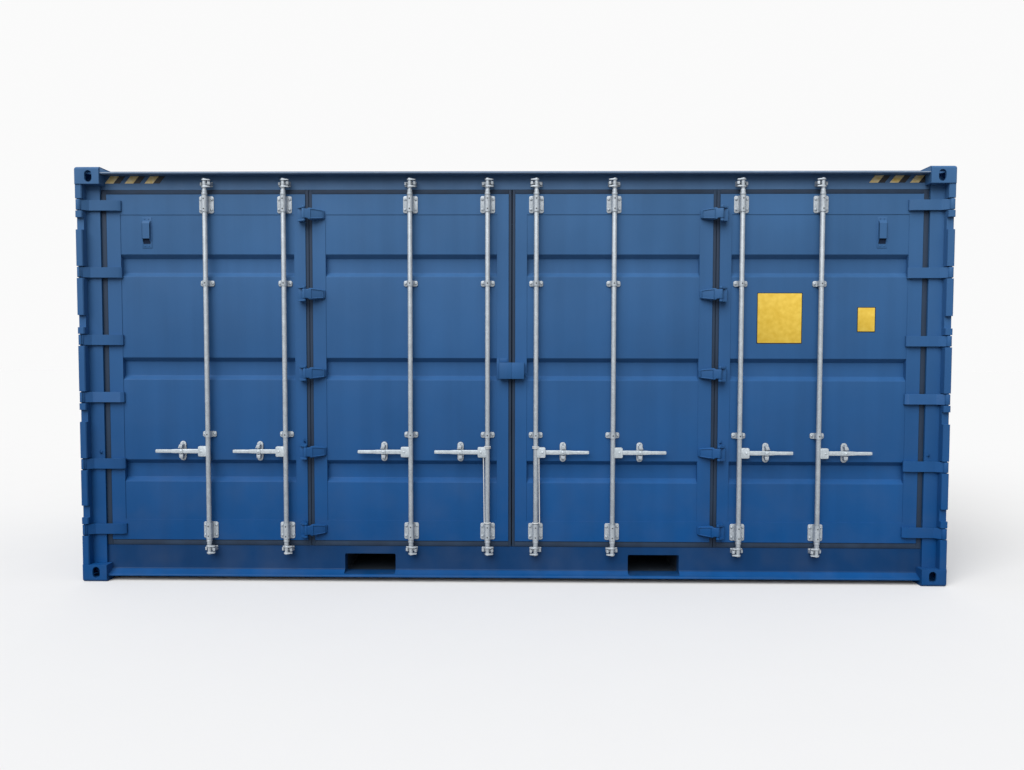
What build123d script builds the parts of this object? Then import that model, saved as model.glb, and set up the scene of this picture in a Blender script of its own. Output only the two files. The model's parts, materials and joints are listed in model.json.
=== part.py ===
import os
from build123d import *

os.makedirs("parts", exist_ok=True)

# Overall size, with the origin at the middle of the footprint on the ground
container_length = 6058
container_width = 2438
container_height = 2896

# Corner castings
casting_length = 178
casting_width = 162
casting_height = 118
casting_plate = 28
casting_wall = 16
casting_rounding = 14
casting_chamfer = 12
slot_length = 124
slot_width = 63.5
slot_corner_share = 0.29
side_hole_height = 79
side_hole_width = 51
hole_from_end = 102.5
hole_from_side = 89.5
hole_from_face = 65

# Front posts, with the broken strip that carries the hinge pins
post_inset = 3
post_width = 147
post_recess = 67
strip_width = 51
strip_recess = 7
strip_chamfer = 6
window_depth = 32
strap_gap_depth = 56
post_pin_from_end = 22
post_pin_from_front = 23
post_pin_radius = 10

# Front rails, their heights counted from the ground or from the top of the castings
sill_top = 245
sill_bottom = 30
sill_lip_top = 50
sill_bend_level = 68
sill_slope_top = 98
sill_lip_recess = 14
sill_bend_recess = 60
header_drop = 34
header_height = 110
header_lip = 12
header_lip_recess = 9
rail_recess = 85
gusset_length = 58
gusset_height = 27
gusset_thickness = 8

# Rear posts, other rails and pressed sheets
rear_post_length = 118
rear_post_width = 100
skin_inset = 4
rear_rail_size = 60
rear_rail_drop = 10
rear_channel_depth = 48
channel_thickness = 6
end_top_rail_height = 68
end_bottom_rail_top = 150
end_rail_width = 60
sheet_thickness = 2
wall_inset = 8
rear_wall_pitch = 278
rear_wall_depth = 36
rear_wall_slope = 68
end_wall_pitch = 250
end_wall_depth = 45
end_wall_slope = 18
roof_pitch = 209
roof_depth = 20
roof_slope = 38
roof_overlap = 40

# Floor and what carries it, with beam places as shares of the room between the pockets
floor_thickness = 28
floor_clearance = 2
beam_height = 122
beam_flange = 45
beam_thickness = 5
middle_beam_shares = [0.18, 0.53, 0.88]
outer_beam_shares = [0.065, 0.245, 0.42, 0.6, 0.775, 0.945]
pocket_share = 0.3315
pocket_width = 360
pocket_height = 135
pocket_bottom = 54
pocket_wall = 6
pocket_chamfer = 9

# Door leaves
door_recess = 75
leaf_depth = 50
bottom_rail_height = 145
top_rail_height = 141
top_gap = 33
bottom_gap = 40
post_gap = 40
fold_gap = 48
centre_gap = 46
fold_share = 0.4927
outer_stile = 97
fold_stile = 80
inner_fold_stile = 92
centre_stile = 82
panel_thickness = 2.5
recess_spacing_share = 0.297
recess_height = 156
recess_floor = 98
recess_depth = 36
gasket_front = 80
gasket_depth = 40
gasket_clearance = 6
vent_from_end = 434
vent_width = 71
vent_below_rail = 16
vent_height = 216
vent_depth = 16
vent_mouth_height = 72

# Hinges between post and outer leaf, placed as shares of the leaf's height from its middle
strap_shares = [0.0826, 0.2761, 0.4671]
strap_height = 72
strap_clearance = 6
strap_thickness = 12
strap_standoff = 7
strap_overlap = 10
strap_tip_slope = 22
strap_tip_thickness = 12
window_from_strap = 130
window_height = 85
strap_shoulder = 18
strap_crank_front = 58
strap_crank_back = 52
hinge_eye_radius = 20
hinge_eye_sides = 8
pin_sides = 12
pin_clearance = 0.5

# Hinges between outer and inner leaf
fold_middle_share = -0.0119
fold_spacing_share = 0.2268
fold_hinge_count = 5
fold_pin_offset = 20
fold_pin_from_front = 13
fold_pin_radius = 7
fold_eye_radius = 12
fold_shoulder = 11
fold_block_height = 104
fold_block_width = 27
fold_block_depth = 34
fold_lug_thickness = 14
fold_blade_half = 33
fold_blade_tip_half = 25
fold_blade_tip = 17
fold_blade_length = 133

# Locking bars, placed as shares of their leaf's width from its hinge side
outer_bar_shares = [0.5064, 0.8977]
inner_bar_shares = [0.5018, 0.8937]
bar_radius = 17
bar_from_front = 37
cam_radius = 20
cam_sides = 8
cam_height = 66
cam_prong_reach = 40
cam_prong_width = 32
cam_prong_thickness = 9
cam_prong_gap = 37
top_cam_rise = 36
bottom_cam_drop = 19
keeper_near = 26
keeper_far = 40
keeper_height = 22
keeper_recess = 24
keeper_slope = 8
bracket_plate = 8
bracket_crown = 21
bracket_chamfer = 9
large_bracket_width = 102
large_bracket_height = 118
large_bracket_margin = 14
small_bracket_width = 97
small_bracket_height = 40
small_bracket_shares = [0.2453, -0.1894]
handle_share = -0.2383
hub_height = 72
hub_reach = 70
hub_thickness = 30
hub_chamfer = 8
handle_reach = 372
handle_height = 31
handle_tip_height = 26
handle_thickness = 12
catch_from_bar = 191
catch_width = 44
catch_height = 138
catch_chamfer = 13
jaw_width = 30
jaw_height = 26
jaw_clearance = 6
jaw_front = 28

# Lock box over the middle joint
box_reach = 86
box_gap = 6
box_below = 65
box_above = 48
box_recess = 19
box_wall = 5

# Planes and levels worked out from the sizes above
end = container_length / 2
front = -container_width / 2
rear = container_width / 2
upper_castings = container_height - casting_height
inner_end = end - casting_length
frame_back = front + casting_width
opening_half = end - post_width
header_top = container_height - header_drop
header_bottom = header_top - header_height
rear_rail_top = container_height - rear_rail_drop
door_face = front + door_recess
bar_line = front + bar_from_front
floor_bottom = sill_top - floor_thickness
leaf_top = header_bottom - top_gap
leaf_bottom = sill_top + bottom_gap
leaf_height = leaf_top - leaf_bottom
leaf_middle = (leaf_top + leaf_bottom) / 2
panel_bottom = leaf_bottom + bottom_rail_height
panel_top = leaf_top - top_rail_height
fold_middle = opening_half * fold_share
post_pin = (end - post_pin_from_end, post_pin_from_front)
fold_pin = (fold_middle + fold_pin_offset, fold_pin_from_front)
outer_leaf = [opening_half - post_gap, fold_middle + fold_gap / 2]
inner_leaf = [fold_middle - fold_gap / 2, centre_gap / 2]
outer_bars = [outer_leaf[0] - share * (outer_leaf[0] - outer_leaf[1]) for share in outer_bar_shares]
inner_bars = [inner_leaf[0] - share * (inner_leaf[0] - inner_leaf[1]) for share in inner_bar_shares]
cam_levels = [header_bottom + top_cam_rise, sill_top - bottom_cam_drop]
handle_level = leaf_middle + handle_share * leaf_height
strap_levels = [leaf_middle + s * share * leaf_height for share in strap_shares for s in (-1, 1)]
pocket_spacing = container_length * pocket_share


def save(piece, name):
    piece.part.label = name
    export_step(piece.part, "parts/" + name + ".step")


def save_pair(piece, name):
    # the left piece as drawn, and its mirror image on the right
    save(piece, "left_" + name)
    with BuildPart() as other:
        mirror(piece.part, about=Plane.YZ)
    save(other, "right_" + name)


def left_plan(points):
    # distances from the middle and from the front plane, as a left-hand outline seen from above
    return [(-x, front + y) for x, y in points]


def block(low, high, mode=Mode.ADD):
    # a plain block between two opposite corners, for use inside a part
    middle = tuple((a + b) / 2 for a, b in zip(low, high))
    with Locations(middle):
        Box(*[b - a for a, b in zip(low, high)], mode=mode)


def notch_castings():
    # clears the four upper castings out of a piece, for use inside a part
    for side in (-1, 1):
        for y in (front, rear):
            with Locations((side * end, y, container_height)):
                Box(2 * casting_length, 2 * casting_width, 2 * casting_height, mode=Mode.SUBTRACT)


def pin_row(place, levels, radius, length):
    # a row of hinge pins, the first one round and the rest with flats to stay light, for use inside a part
    x, y = left_plan([place])[0]
    for number, level in enumerate(levels):
        with BuildSketch(Plane((x, y, level - length / 2))) as section:
            if number == 0:
                Circle(radius)
            else:
                RegularPolygon(radius, pin_sides)
        extrude(section.sketch, amount=length)


def slot(plane, width, height):
    # oblong hole with flattened ends
    with BuildSketch(plane) as hole:
        Rectangle(width, height)
        chamfer(hole.vertices(), slot_corner_share * min(width, height))
    return hole.sketch


# Corner castings: one hollow block, then its mirrored copies
with BuildPart() as corner_block:
    block((inner_end, rear - casting_width, upper_castings), (end, rear, container_height))
    fillet(corner_block.edges().filter_by(Axis.Z).sort_by(Axis.X).sort_by(Axis.Y)[-1], casting_rounding)
    rims = corner_block.faces().sort_by(Axis.Z)[-1].edges()
    outside = [e for e in rims if max(e.center().X - end, e.center().Y - rear) > -casting_rounding]
    chamfer(outside, casting_chamfer)
    block(
        (inner_end + casting_wall, rear - casting_width + casting_wall, upper_castings + casting_wall),
        (end - casting_wall, rear - casting_wall, container_height - casting_plate),
        Mode.SUBTRACT,
    )
    hole_level = container_height - hole_from_face
    top_plane = Plane((end - hole_from_end, rear - hole_from_side, container_height))
    side_plane = Plane((end - hole_from_end, rear, hole_level), (1, 0, 0), (0, 1, 0))
    end_plane = Plane((end, rear - hole_from_side, hole_level), (0, 1, 0), (1, 0, 0))
    extrude(slot(top_plane, slot_length, slot_width), amount=-casting_plate, mode=Mode.SUBTRACT)
    extrude(slot(side_plane, side_hole_width, side_hole_height), amount=-casting_wall, mode=Mode.SUBTRACT)
    extrude(slot(end_plane, side_hole_width, side_hole_height), amount=-casting_wall, mode=Mode.SUBTRACT)

with BuildPart() as top_castings:
    add(corner_block.part)
    mirror(about=Plane.YZ)
    mirror(about=Plane.XZ)
save(top_castings, "top_corner_castings")

with BuildPart() as bottom_castings:
    mirror(top_castings.part, about=Plane.XY.offset(container_height / 2))
save(bottom_castings, "bottom_corner_castings")

# Front post: recessed column, and in front of its outer edge a strip broken for the hinges
with BuildPart() as front_post:
    with BuildSketch(Plane.XY.offset(casting_height)) as strip_plan:
        strip = [(end - post_inset, strip_recess), (end - strip_width, strip_recess)]
        strip += [(end - strip_width, post_recess), (end - post_inset, post_recess)]
        Polygon(*left_plan(strip), align=None)
        chamfer(strip_plan.vertices().group_by(Axis.Y)[0], strip_chamfer)
    extrude(amount=upper_castings - casting_height)
    strap_gap = strap_height / 2 + strap_clearance
    gaps = [(level - strap_gap, level + strap_gap, strap_gap_depth) for level in strap_levels]
    for s in (-1, 1):
        inner_strap = leaf_middle + s * strap_shares[0] * leaf_height
        outer_strap = leaf_middle + s * strap_shares[-1] * leaf_height
        for level in (inner_strap + s * window_from_strap, outer_strap - s * window_from_strap):
            gaps.append((level - window_height / 2, level + window_height / 2, window_depth))
    for low, high, depth in gaps:
        block((-end, front, low), (-end + strip_width, front + depth, high), Mode.SUBTRACT)
    with BuildSketch(Plane.XY.offset(casting_height)):
        column = [(end - post_inset, post_recess), (opening_half, post_recess)]
        column += [(opening_half, casting_width), (end - post_inset, casting_width)]
        Polygon(*left_plan(column), align=None)
    extrude(amount=upper_castings - casting_height)
    pin_row(post_pin, strap_levels, post_pin_radius, 2 * strap_gap + 2 * strap_clearance)
save_pair(front_post, "front_post")

# Rear post: folded section with one corner cut back inside
with BuildPart() as rear_post:
    with BuildSketch(Plane.XY.offset(casting_height)):
        corner = [(end - skin_inset, skin_inset), (end - rear_post_length, skin_inset)]
        corner += [(end - rear_post_length, rear_post_width / 2)]
        corner += [(end - rear_post_length / 2, rear_post_width)]
        corner += [(end - skin_inset, rear_post_width)]
        Polygon(*[(-x, rear - y) for x, y in corner], align=None)
    extrude(amount=upper_castings - casting_height)
save_pair(rear_post, "rear_post")

# Front top rail: deep box rail with a lip standing out over the cams, and a gusset up to each casting
with BuildPart() as front_top_rail:
    with BuildSketch(Plane.YZ):
        with BuildLine():
            Polyline(
                (front + header_lip_recess, header_top - header_lip),
                (front + rail_recess, header_top - header_lip),
                (front + rail_recess, header_bottom),
                (frame_back, header_bottom),
                (frame_back, header_top),
                (front + header_lip_recess, header_top),
                close=True,
            )
        make_face()
    extrude(amount=opening_half, both=True)
    notch_castings()
    with BuildSketch(Plane.XZ.offset(-front - header_lip_recess)):
        for s in (-1, 1):
            gusset = [(inner_end, header_top), (inner_end, header_top + gusset_height)]
            gusset += [(inner_end - gusset_length, header_top)]
            Polygon(*[(s * x, z) for x, z in gusset], align=None)
    extrude(amount=-gusset_thickness)
save(front_top_rail, "front_top_rail")


def pocket_outline(margin):
    # the two fork openings as seen from the front
    with BuildSketch(Plane.XZ) as outline:
        with Locations((0, pocket_bottom + pocket_height / 2)):
            with GridLocations(pocket_spacing, 1, 2, 1):
                Rectangle(pocket_width + 2 * margin, pocket_height + 2 * margin)
        chamfer(outline.vertices(), pocket_chamfer)
    return outline.sketch


# Front bottom rail: upright web, foot that bends out to a lip, with two fork openings
with BuildPart() as front_bottom_rail:
    with BuildSketch(Plane.YZ):
        with BuildLine():
            Polyline(
                (front + rail_recess, sill_top),
                (front + rail_recess, sill_slope_top),
                (front + sill_bend_recess, sill_bend_level),
                (front + sill_lip_recess, sill_lip_top),
                (front + sill_lip_recess, sill_bottom),
                (frame_back, sill_bottom),
                (frame_back, sill_top),
                close=True,
            )
        make_face()
    extrude(amount=opening_half, both=True)
    for s in (-1, 1):
        low_x, high_x = sorted((s * inner_end, s * end))
        block((low_x, front, 0), (high_x, frame_back, casting_height), Mode.SUBTRACT)
    extrude(pocket_outline(0), amount=container_width, both=True, mode=Mode.SUBTRACT)
save(front_bottom_rail, "front_bottom_rail")

# Rear top rail: square bar between the castings
with BuildPart() as rear_top_rail:
    block(
        (-inner_end, rear - skin_inset - rear_rail_size, rear_rail_top - rear_rail_size),
        (inner_end, rear - skin_inset, rear_rail_top),
    )
    chamfer(rear_top_rail.edges().filter_by(Axis.X), strip_chamfer)
save(rear_top_rail, "rear_top_rail")

# Rear bottom rail: channel open towards the floor beams
channel_web = rear - skin_inset - channel_thickness
channel_lip = rear - skin_inset - rear_channel_depth
with BuildPart() as rear_bottom_rail:
    block((-inner_end, channel_lip, sill_bottom), (inner_end, rear - skin_inset, sill_top))
    block(
        (-inner_end, channel_lip, sill_bottom + channel_thickness),
        (inner_end, channel_web, sill_top - channel_thickness),
        Mode.SUBTRACT,
    )
    extrude(pocket_outline(0), amount=container_width, both=True, mode=Mode.SUBTRACT)
save(rear_bottom_rail, "rear_bottom_rail")


def end_rails(low, high):
    # a bar between the castings at each end
    with BuildPart() as rails:
        for s in (-1, 1):
            with Locations((s * (end - skin_inset - end_rail_width / 2), 0, (low + high) / 2)):
                Box(end_rail_width, container_width - 2 * casting_width, high - low)
    return rails


end_top_rail_bottom = rear_rail_top - end_top_rail_height
save(end_rails(end_top_rail_bottom, rear_rail_top), "end_top_rails")
save(end_rails(sill_bottom, end_bottom_rail_top), "end_bottom_rails")


def wave(start, stop, pitch, depth, slope):
    # corners of a trapezoid wave that starts and stops on a half crest
    count = max(1, round((stop - start) / pitch))
    step = (stop - start) / count
    flat = (step - 2 * slope) / 2
    points = [(start, 0)]
    for i in range(count):
        begin = start + i * step + flat / 2
        points.append((begin, 0))
        points.append((begin + slope, -depth))
        points.append((begin + slope + flat, -depth))
        points.append((begin + 2 * slope + flat, 0))
    points.append((stop, 0))
    return points


def corrugated(plane, points, height):
    # a pressed sheet: the wave given an even thickness, then drawn along the plane's normal
    with BuildPart() as sheet:
        with BuildSketch(plane):
            with BuildLine():
                Polyline(*points)
                offset(amount=sheet_thickness, side=Side.RIGHT, kind=Kind.INTERSECTION)
            make_face()
        extrude(amount=height)
        notch_castings()
    return sheet


# Rear wall, with the crests of its waves outside
rear_wall_half = end - rear_post_length
rear_wall = corrugated(
    Plane((0, rear - wall_inset, sill_top), (1, 0, 0), (0, 0, 1)),
    wave(-rear_wall_half, rear_wall_half, rear_wall_pitch, rear_wall_depth, rear_wall_slope),
    rear_rail_top - rear_rail_size - sill_top,
)
save(rear_wall, "rear_wall")

# End walls between front and rear posts
left_end_wall = corrugated(
    Plane((-end + wall_inset, 0, end_bottom_rail_top), (0, 1, 0), (0, 0, 1)),
    wave(frame_back, rear - rear_post_width, end_wall_pitch, end_wall_depth, end_wall_slope),
    end_top_rail_bottom - end_bottom_rail_top,
)
save_pair(left_end_wall, "end_wall")

# Roof with cross waves, lying on the front rail and between the other three
roof_half = end - skin_inset - end_rail_width
roof_rear = rear - skin_inset - rear_rail_size
roof_panel = corrugated(
    Plane((0, roof_rear, header_top + roof_depth + sheet_thickness), (1, 0, 0), (0, -1, 0)),
    wave(-roof_half, roof_half, roof_pitch, roof_depth, roof_slope),
    roof_rear - frame_back + roof_overlap,
)
save(roof_panel, "roof_panel")

# Floor boards, cut round the rear posts
floor_half = end - wall_inset - end_wall_depth - sheet_thickness - floor_clearance
with BuildPart() as floor_boards:
    block((-floor_half, frame_back, floor_bottom), (floor_half, channel_lip, sill_top))
    for s in (-1, 1):
        with Locations((s * end, rear, sill_top)):
            Box(2 * rear_post_length, 2 * rear_post_width, sill_top, mode=Mode.SUBTRACT)
save(floor_boards, "floor_boards")

# Cross beams: channels from the front rail to the rear one, clear of the fork pockets
pocket_near = pocket_spacing / 2 - pocket_width / 2 - pocket_wall
pocket_far = pocket_spacing / 2 + pocket_width / 2 + pocket_wall
beam_places = [share * pocket_near for share in middle_beam_shares]
beam_places += [pocket_far + share * (opening_half - pocket_far) for share in outer_beam_shares]
with BuildPart() as cross_members:
    with BuildSketch(Plane.XZ.offset(-frame_back)):
        for x in [s * place for place in beam_places for s in (-1, 1)]:
            with Locations((x, floor_bottom - beam_height / 2)):
                Rectangle(beam_flange, beam_height)
            with Locations((x + beam_thickness, floor_bottom - beam_height / 2)):
                Rectangle(beam_flange, beam_height - 2 * beam_thickness, mode=Mode.SUBTRACT)
    extrude(amount=frame_back - channel_web)
save(cross_members, "cross_members")

# Fork pockets: a tunnel behind each pair of openings
with BuildPart() as fork_pockets:
    extrude(pocket_outline(pocket_wall), amount=container_width, both=True)
    extrude(pocket_outline(0), amount=container_width, both=True, mode=Mode.SUBTRACT)
    block((-end, frame_back, 0), (end, channel_web, container_height), Mode.INTERSECT)
save(fork_pockets, "fork_pockets")

# Cam keepers: a tapered lug between the prongs of each cam
with BuildPart() as cam_keepers:
    for level in cam_levels:
        with BuildSketch(Plane.XY.offset(level - keeper_height / 2)):
            for place in outer_bars + inner_bars:
                lug = [(place - keeper_near, rail_recess), (place - keeper_near, keeper_recess)]
                lug += [(place - keeper_far, keeper_recess + keeper_slope)]
                lug += [(place - keeper_far - keeper_slope, rail_recess)]
                Polygon(*left_plan(lug), align=None)
        extrude(amount=keeper_height)
    mirror(about=Plane.YZ)
save(cam_keepers, "cam_keepers")


def leaf_frame(edges, panel_edges):
    # stiles and rails round the panel
    with BuildPart() as frame:
        with BuildSketch(Plane.XZ.offset(-door_face)):
            with Locations((-sum(edges) / 2, leaf_middle)):
                Rectangle(edges[0] - edges[1], leaf_height)
            with Locations((-sum(panel_edges) / 2, (panel_bottom + panel_top) / 2)):
                Rectangle(panel_edges[0] - panel_edges[1], panel_top - panel_bottom, mode=Mode.SUBTRACT)
        extrude(amount=-leaf_depth)
    return frame


def leaf_panel(panel_edges, with_vent):
    # flat sheet with three level recesses pressed into it
    slope = (recess_height - recess_floor) / 2
    points = [(0, panel_bottom)]
    for i in (-1, 0, 1):
        level = leaf_middle + i * recess_spacing_share * leaf_height
        points.append((0, level - recess_height / 2))
        points.append((recess_depth, level - recess_height / 2 + slope))
        points.append((recess_depth, level + recess_height / 2 - slope))
        points.append((0, level + recess_height / 2))
    points.append((0, panel_top))
    vent_top = panel_top - vent_below_rail
    vent_bottom = vent_top - vent_height
    vent_mouth = vent_bottom + vent_mouth_height
    with BuildPart() as panel:
        with BuildSketch(Plane((-sum(panel_edges) / 2, door_face, 0), (0, 1, 0), (1, 0, 0))):
            with BuildLine():
                Polyline(*points)
                offset(amount=panel_thickness, side=Side.RIGHT, kind=Kind.INTERSECTION)
            make_face()
        extrude(amount=(panel_edges[0] - panel_edges[1]) / 2, both=True)
        if with_vent:
            # hood that leans out to an open mouth at its foot
            vent_at = -end + vent_from_end + vent_width / 2
            with BuildSketch(Plane((vent_at, door_face, 0), (0, 1, 0), (1, 0, 0))):
                with BuildLine():
                    Polyline(
                        (0, vent_top),
                        (-vent_depth / 2, vent_top),
                        (-vent_depth, vent_top - vent_height / 2),
                        (-vent_depth, vent_bottom),
                        (-vent_depth + panel_thickness, vent_bottom),
                        (-vent_depth + panel_thickness, vent_mouth),
                        (0, vent_mouth),
                        close=True,
                    )
                make_face()
            extrude(amount=vent_width / 2, both=True)
    return panel


def leaf_gasket(edges, reaches):
    # rubber band round all four edges of the leaf
    outer_x = edges[0] + reaches[0]
    inner_x = edges[1] - reaches[1]
    low = sill_top + gasket_clearance
    high = header_bottom - gasket_clearance
    with BuildPart() as gasket:
        with BuildSketch(Plane.XZ.offset(-front - gasket_front)):
            with Locations((-(outer_x + inner_x) / 2, (low + high) / 2)):
                Rectangle(outer_x - inner_x, high - low)
            with Locations((-sum(edges) / 2, leaf_middle)):
                Rectangle(edges[0] - edges[1], leaf_height, mode=Mode.SUBTRACT)
        extrude(amount=-gasket_depth)
    return gasket


def bracket(place, low, height, width):
    # folded hat over the bar, with flat feet on the leaf, for use inside a part
    crown = bar_from_front - bracket_crown
    foot = door_recess - bracket_plate
    inside = bar_radius + pin_clearance
    fold = bracket_chamfer - (bracket_crown - inside) / 2
    half = [(width / 2, door_recess), (width / 2, foot), (bracket_crown, foot)]
    half += [(bracket_crown, crown + bracket_chamfer), (bracket_crown - bracket_chamfer, crown)]
    hollow = [(inside, door_recess), (inside, bar_from_front - inside + fold)]
    hollow.append((inside - fold, bar_from_front - inside))
    outline = half + [(-x, y) for x, y in reversed(half)]
    outline += [(-x, y) for x, y in hollow] + list(reversed(hollow))
    with BuildSketch(Plane.XY.offset(low)) as section:
        Polygon(*left_plan([(place + x, y) for x, y in outline]), align=None)
    extrude(section.sketch, amount=height)


def catch(place):
    # plate with a jaw above and below the handle, for use inside a part
    with BuildSketch(Plane.XZ.offset(-door_face)) as plate:
        with Locations((-place, handle_level)):
            Rectangle(catch_width, catch_height)
        chamfer(plate.vertices(), catch_chamfer)
    extrude(plate.sketch, amount=bracket_plate)
    jaw_middle = handle_height / 2 + jaw_clearance + jaw_height / 2
    with BuildSketch(Plane.XZ.offset(-door_face)) as jaws:
        with Locations((-place, handle_level - jaw_middle), (-place, handle_level + jaw_middle)):
            Rectangle(jaw_width, jaw_height)
    extrude(jaws.sketch, amount=door_recess - jaw_front)


def lock_fittings(places, with_box):
    with BuildPart() as fittings:
        for place in places:
            bracket(place, leaf_top - large_bracket_margin - large_bracket_height,
                    large_bracket_height, large_bracket_width)
            for share in small_bracket_shares:
                bracket(place, leaf_middle + share * leaf_height - small_bracket_height / 2,
                        small_bracket_height, small_bracket_width)
            bracket(place, leaf_bottom + large_bracket_margin, large_bracket_height, large_bracket_width)
            catch(place + catch_from_bar)
        if with_box:
            # half of the lock box, open at its foot and towards the other half
            block((-box_reach, front + box_recess, leaf_middle - box_below),
                  (-box_gap / 2, door_face, leaf_middle + box_above))
            block((-box_reach + box_wall, front + box_recess + box_wall, leaf_middle - box_below),
                  (0, door_face, leaf_middle + box_above - box_wall), Mode.SUBTRACT)
    return fittings


# Hinges of an outer leaf: cranked straps to the post pins, and forked blocks for the fold pins
strap_tip = outer_leaf[0] - outer_stile - strap_overlap
strap_back = post_recess - strap_standoff
strap_front = strap_back - strap_thickness
fold_middle_level = leaf_middle + fold_middle_share * leaf_height
fold_steps = [i - (fold_hinge_count - 1) / 2 for i in range(fold_hinge_count)]
fold_levels = [fold_middle_level + step * fold_spacing_share * leaf_height for step in fold_steps]

with BuildPart() as strap:
    with BuildSketch(Plane.XY.offset(-strap_height / 2)):
        arm = [(post_pin[0], post_pin[1] - strap_shoulder)]
        arm += [(post_pin[0] - strap_crank_front, strap_front)]
        arm += [(strap_tip + strap_tip_slope, strap_front)]
        arm += [(strap_tip, door_recess - strap_tip_thickness), (strap_tip, door_recess)]
        arm += [(outer_leaf[0] - strap_overlap, door_recess), (outer_leaf[0] - strap_overlap, strap_back)]
        arm += [(post_pin[0] - strap_crank_back, strap_back)]
        arm += [(post_pin[0], post_pin[1] + strap_shoulder)]
        Polygon(*left_plan(arm), align=None)
        with Locations(left_plan([post_pin])[0]):
            RegularPolygon(hinge_eye_radius, hinge_eye_sides)
            RegularPolygon(post_pin_radius + pin_clearance, hinge_eye_sides, False, mode=Mode.SUBTRACT)
    extrude(amount=strap_height)

with BuildPart() as fold_block:
    block_near = fold_pin[0] + fold_eye_radius
    block_far = block_near + fold_block_width
    block_front = door_recess - fold_block_depth
    half_block = fold_block_height / 2
    block((-block_far, front + block_front, -half_block), (-block_near, door_face, half_block))
    lug = [(block_far, block_front), (block_near, fold_pin_from_front - fold_eye_radius / 2)]
    lug += [(fold_pin[0] + fold_eye_radius / 2, fold_pin_from_front - fold_eye_radius)]
    lug += [(fold_pin[0] - fold_eye_radius / 2, fold_pin_from_front - fold_eye_radius)]
    lug += [(fold_pin[0] - fold_eye_radius, fold_pin_from_front - fold_eye_radius / 2)]
    lug += [(fold_pin[0] - fold_eye_radius, fold_pin_from_front + fold_eye_radius / 2)]
    lug += [(block_near, block_front + fold_eye_radius)]
    for low in (-half_block, half_block - fold_lug_thickness):
        with BuildSketch(Plane.XY.offset(low)):
            Polygon(*left_plan(lug), align=None)
        extrude(amount=fold_lug_thickness)

with BuildPart() as outer_hinges:
    with Locations(*[(0, 0, level) for level in strap_levels]):
        add(strap.part)
    with Locations(*[(0, 0, level) for level in fold_levels]):
        add(fold_block.part)
    pin_row(fold_pin, fold_levels, fold_pin_radius, fold_block_height - fold_lug_thickness)
save_pair(outer_hinges, "outer_leaf_hinges")

# Hinges of an inner leaf: tapered blades that reach back over the joint to the fold pins
with BuildPart() as blade:
    tip = fold_pin[0] - fold_blade_length
    with BuildSketch(Plane.XY):
        wedge = [(fold_pin[0], fold_pin_from_front - fold_eye_radius), (tip, door_recess - fold_blade_tip)]
        wedge += [(tip, door_recess), (inner_leaf[0] - gasket_clearance, door_recess)]
        wedge += [(fold_pin[0], fold_pin_from_front + fold_shoulder)]
        Polygon(*left_plan(wedge), align=None)
        with Locations(left_plan([fold_pin])[0]):
            RegularPolygon(fold_eye_radius, hinge_eye_sides)
            RegularPolygon(fold_pin_radius + pin_clearance, hinge_eye_sides, False, mode=Mode.SUBTRACT)
    extrude(amount=fold_blade_half, both=True)
    with BuildSketch(Plane.XZ.offset(-door_face)):
        taper = [(fold_pin[0] + 2 * fold_eye_radius, fold_blade_half), (inner_leaf[0], fold_blade_half)]
        taper += [(tip, fold_blade_tip_half)]
        taper += [(x, -half) for x, half in reversed(taper)]
        Polygon(*[(-x, z) for x, z in taper], align=None)
    extrude(amount=door_recess, mode=Mode.INTERSECT)

with BuildPart() as inner_hinges:
    with Locations(*[(0, 0, level) for level in fold_levels]):
        add(blade.part)
save_pair(inner_hinges, "inner_leaf_hinges")

# One locking bar about its own axis: two-pronged cams, hub and tapered handle
with BuildPart() as one_bar:
    with BuildSketch(Plane.XY.offset(cam_levels[1] + cam_height / 2)):
        Circle(bar_radius)
    extrude(amount=cam_levels[0] - cam_levels[1] - cam_height)
    for level in cam_levels:
        with BuildSketch(Plane.XY.offset(level - cam_height / 2)):
            RegularPolygon(cam_radius, cam_sides)
        extrude(amount=cam_height)
        for s in (-1, 1):
            low = level + s * (cam_prong_gap + cam_prong_thickness) / 2 - cam_prong_thickness / 2
            half_prong = cam_prong_width / 2
            block((0, -half_prong, low), (cam_prong_reach, half_prong, low + cam_prong_thickness))
    with BuildSketch(Plane.XZ) as hub:
        with Locations((-hub_reach / 2, handle_level)):
            Rectangle(hub_reach, hub_height)
        chamfer(hub.vertices().group_by(Axis.X)[0], hub_chamfer)
    extrude(amount=hub_thickness / 2, both=True)
    with BuildSketch(Plane.XZ):
        outline = [(bar_radius, handle_height / 2), (handle_reach, handle_tip_height / 2)]
        outline += [(x, -half) for x, half in reversed(outline)]
        Polygon(*[(-x, handle_level + half) for x, half in outline], align=None)
    extrude(amount=handle_thickness / 2, both=True)
    with Locations((-catch_from_bar, 0, handle_level)):
        Box(jaw_width, 2 * handle_thickness, handle_height)

for number, place in enumerate(outer_bars + inner_bars, 1):
    with BuildPart() as lock_bar:
        with Locations((-place, bar_line, 0)):
            add(one_bar.part)
    save_pair(lock_bar, "lock_bar_" + str(number))

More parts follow.
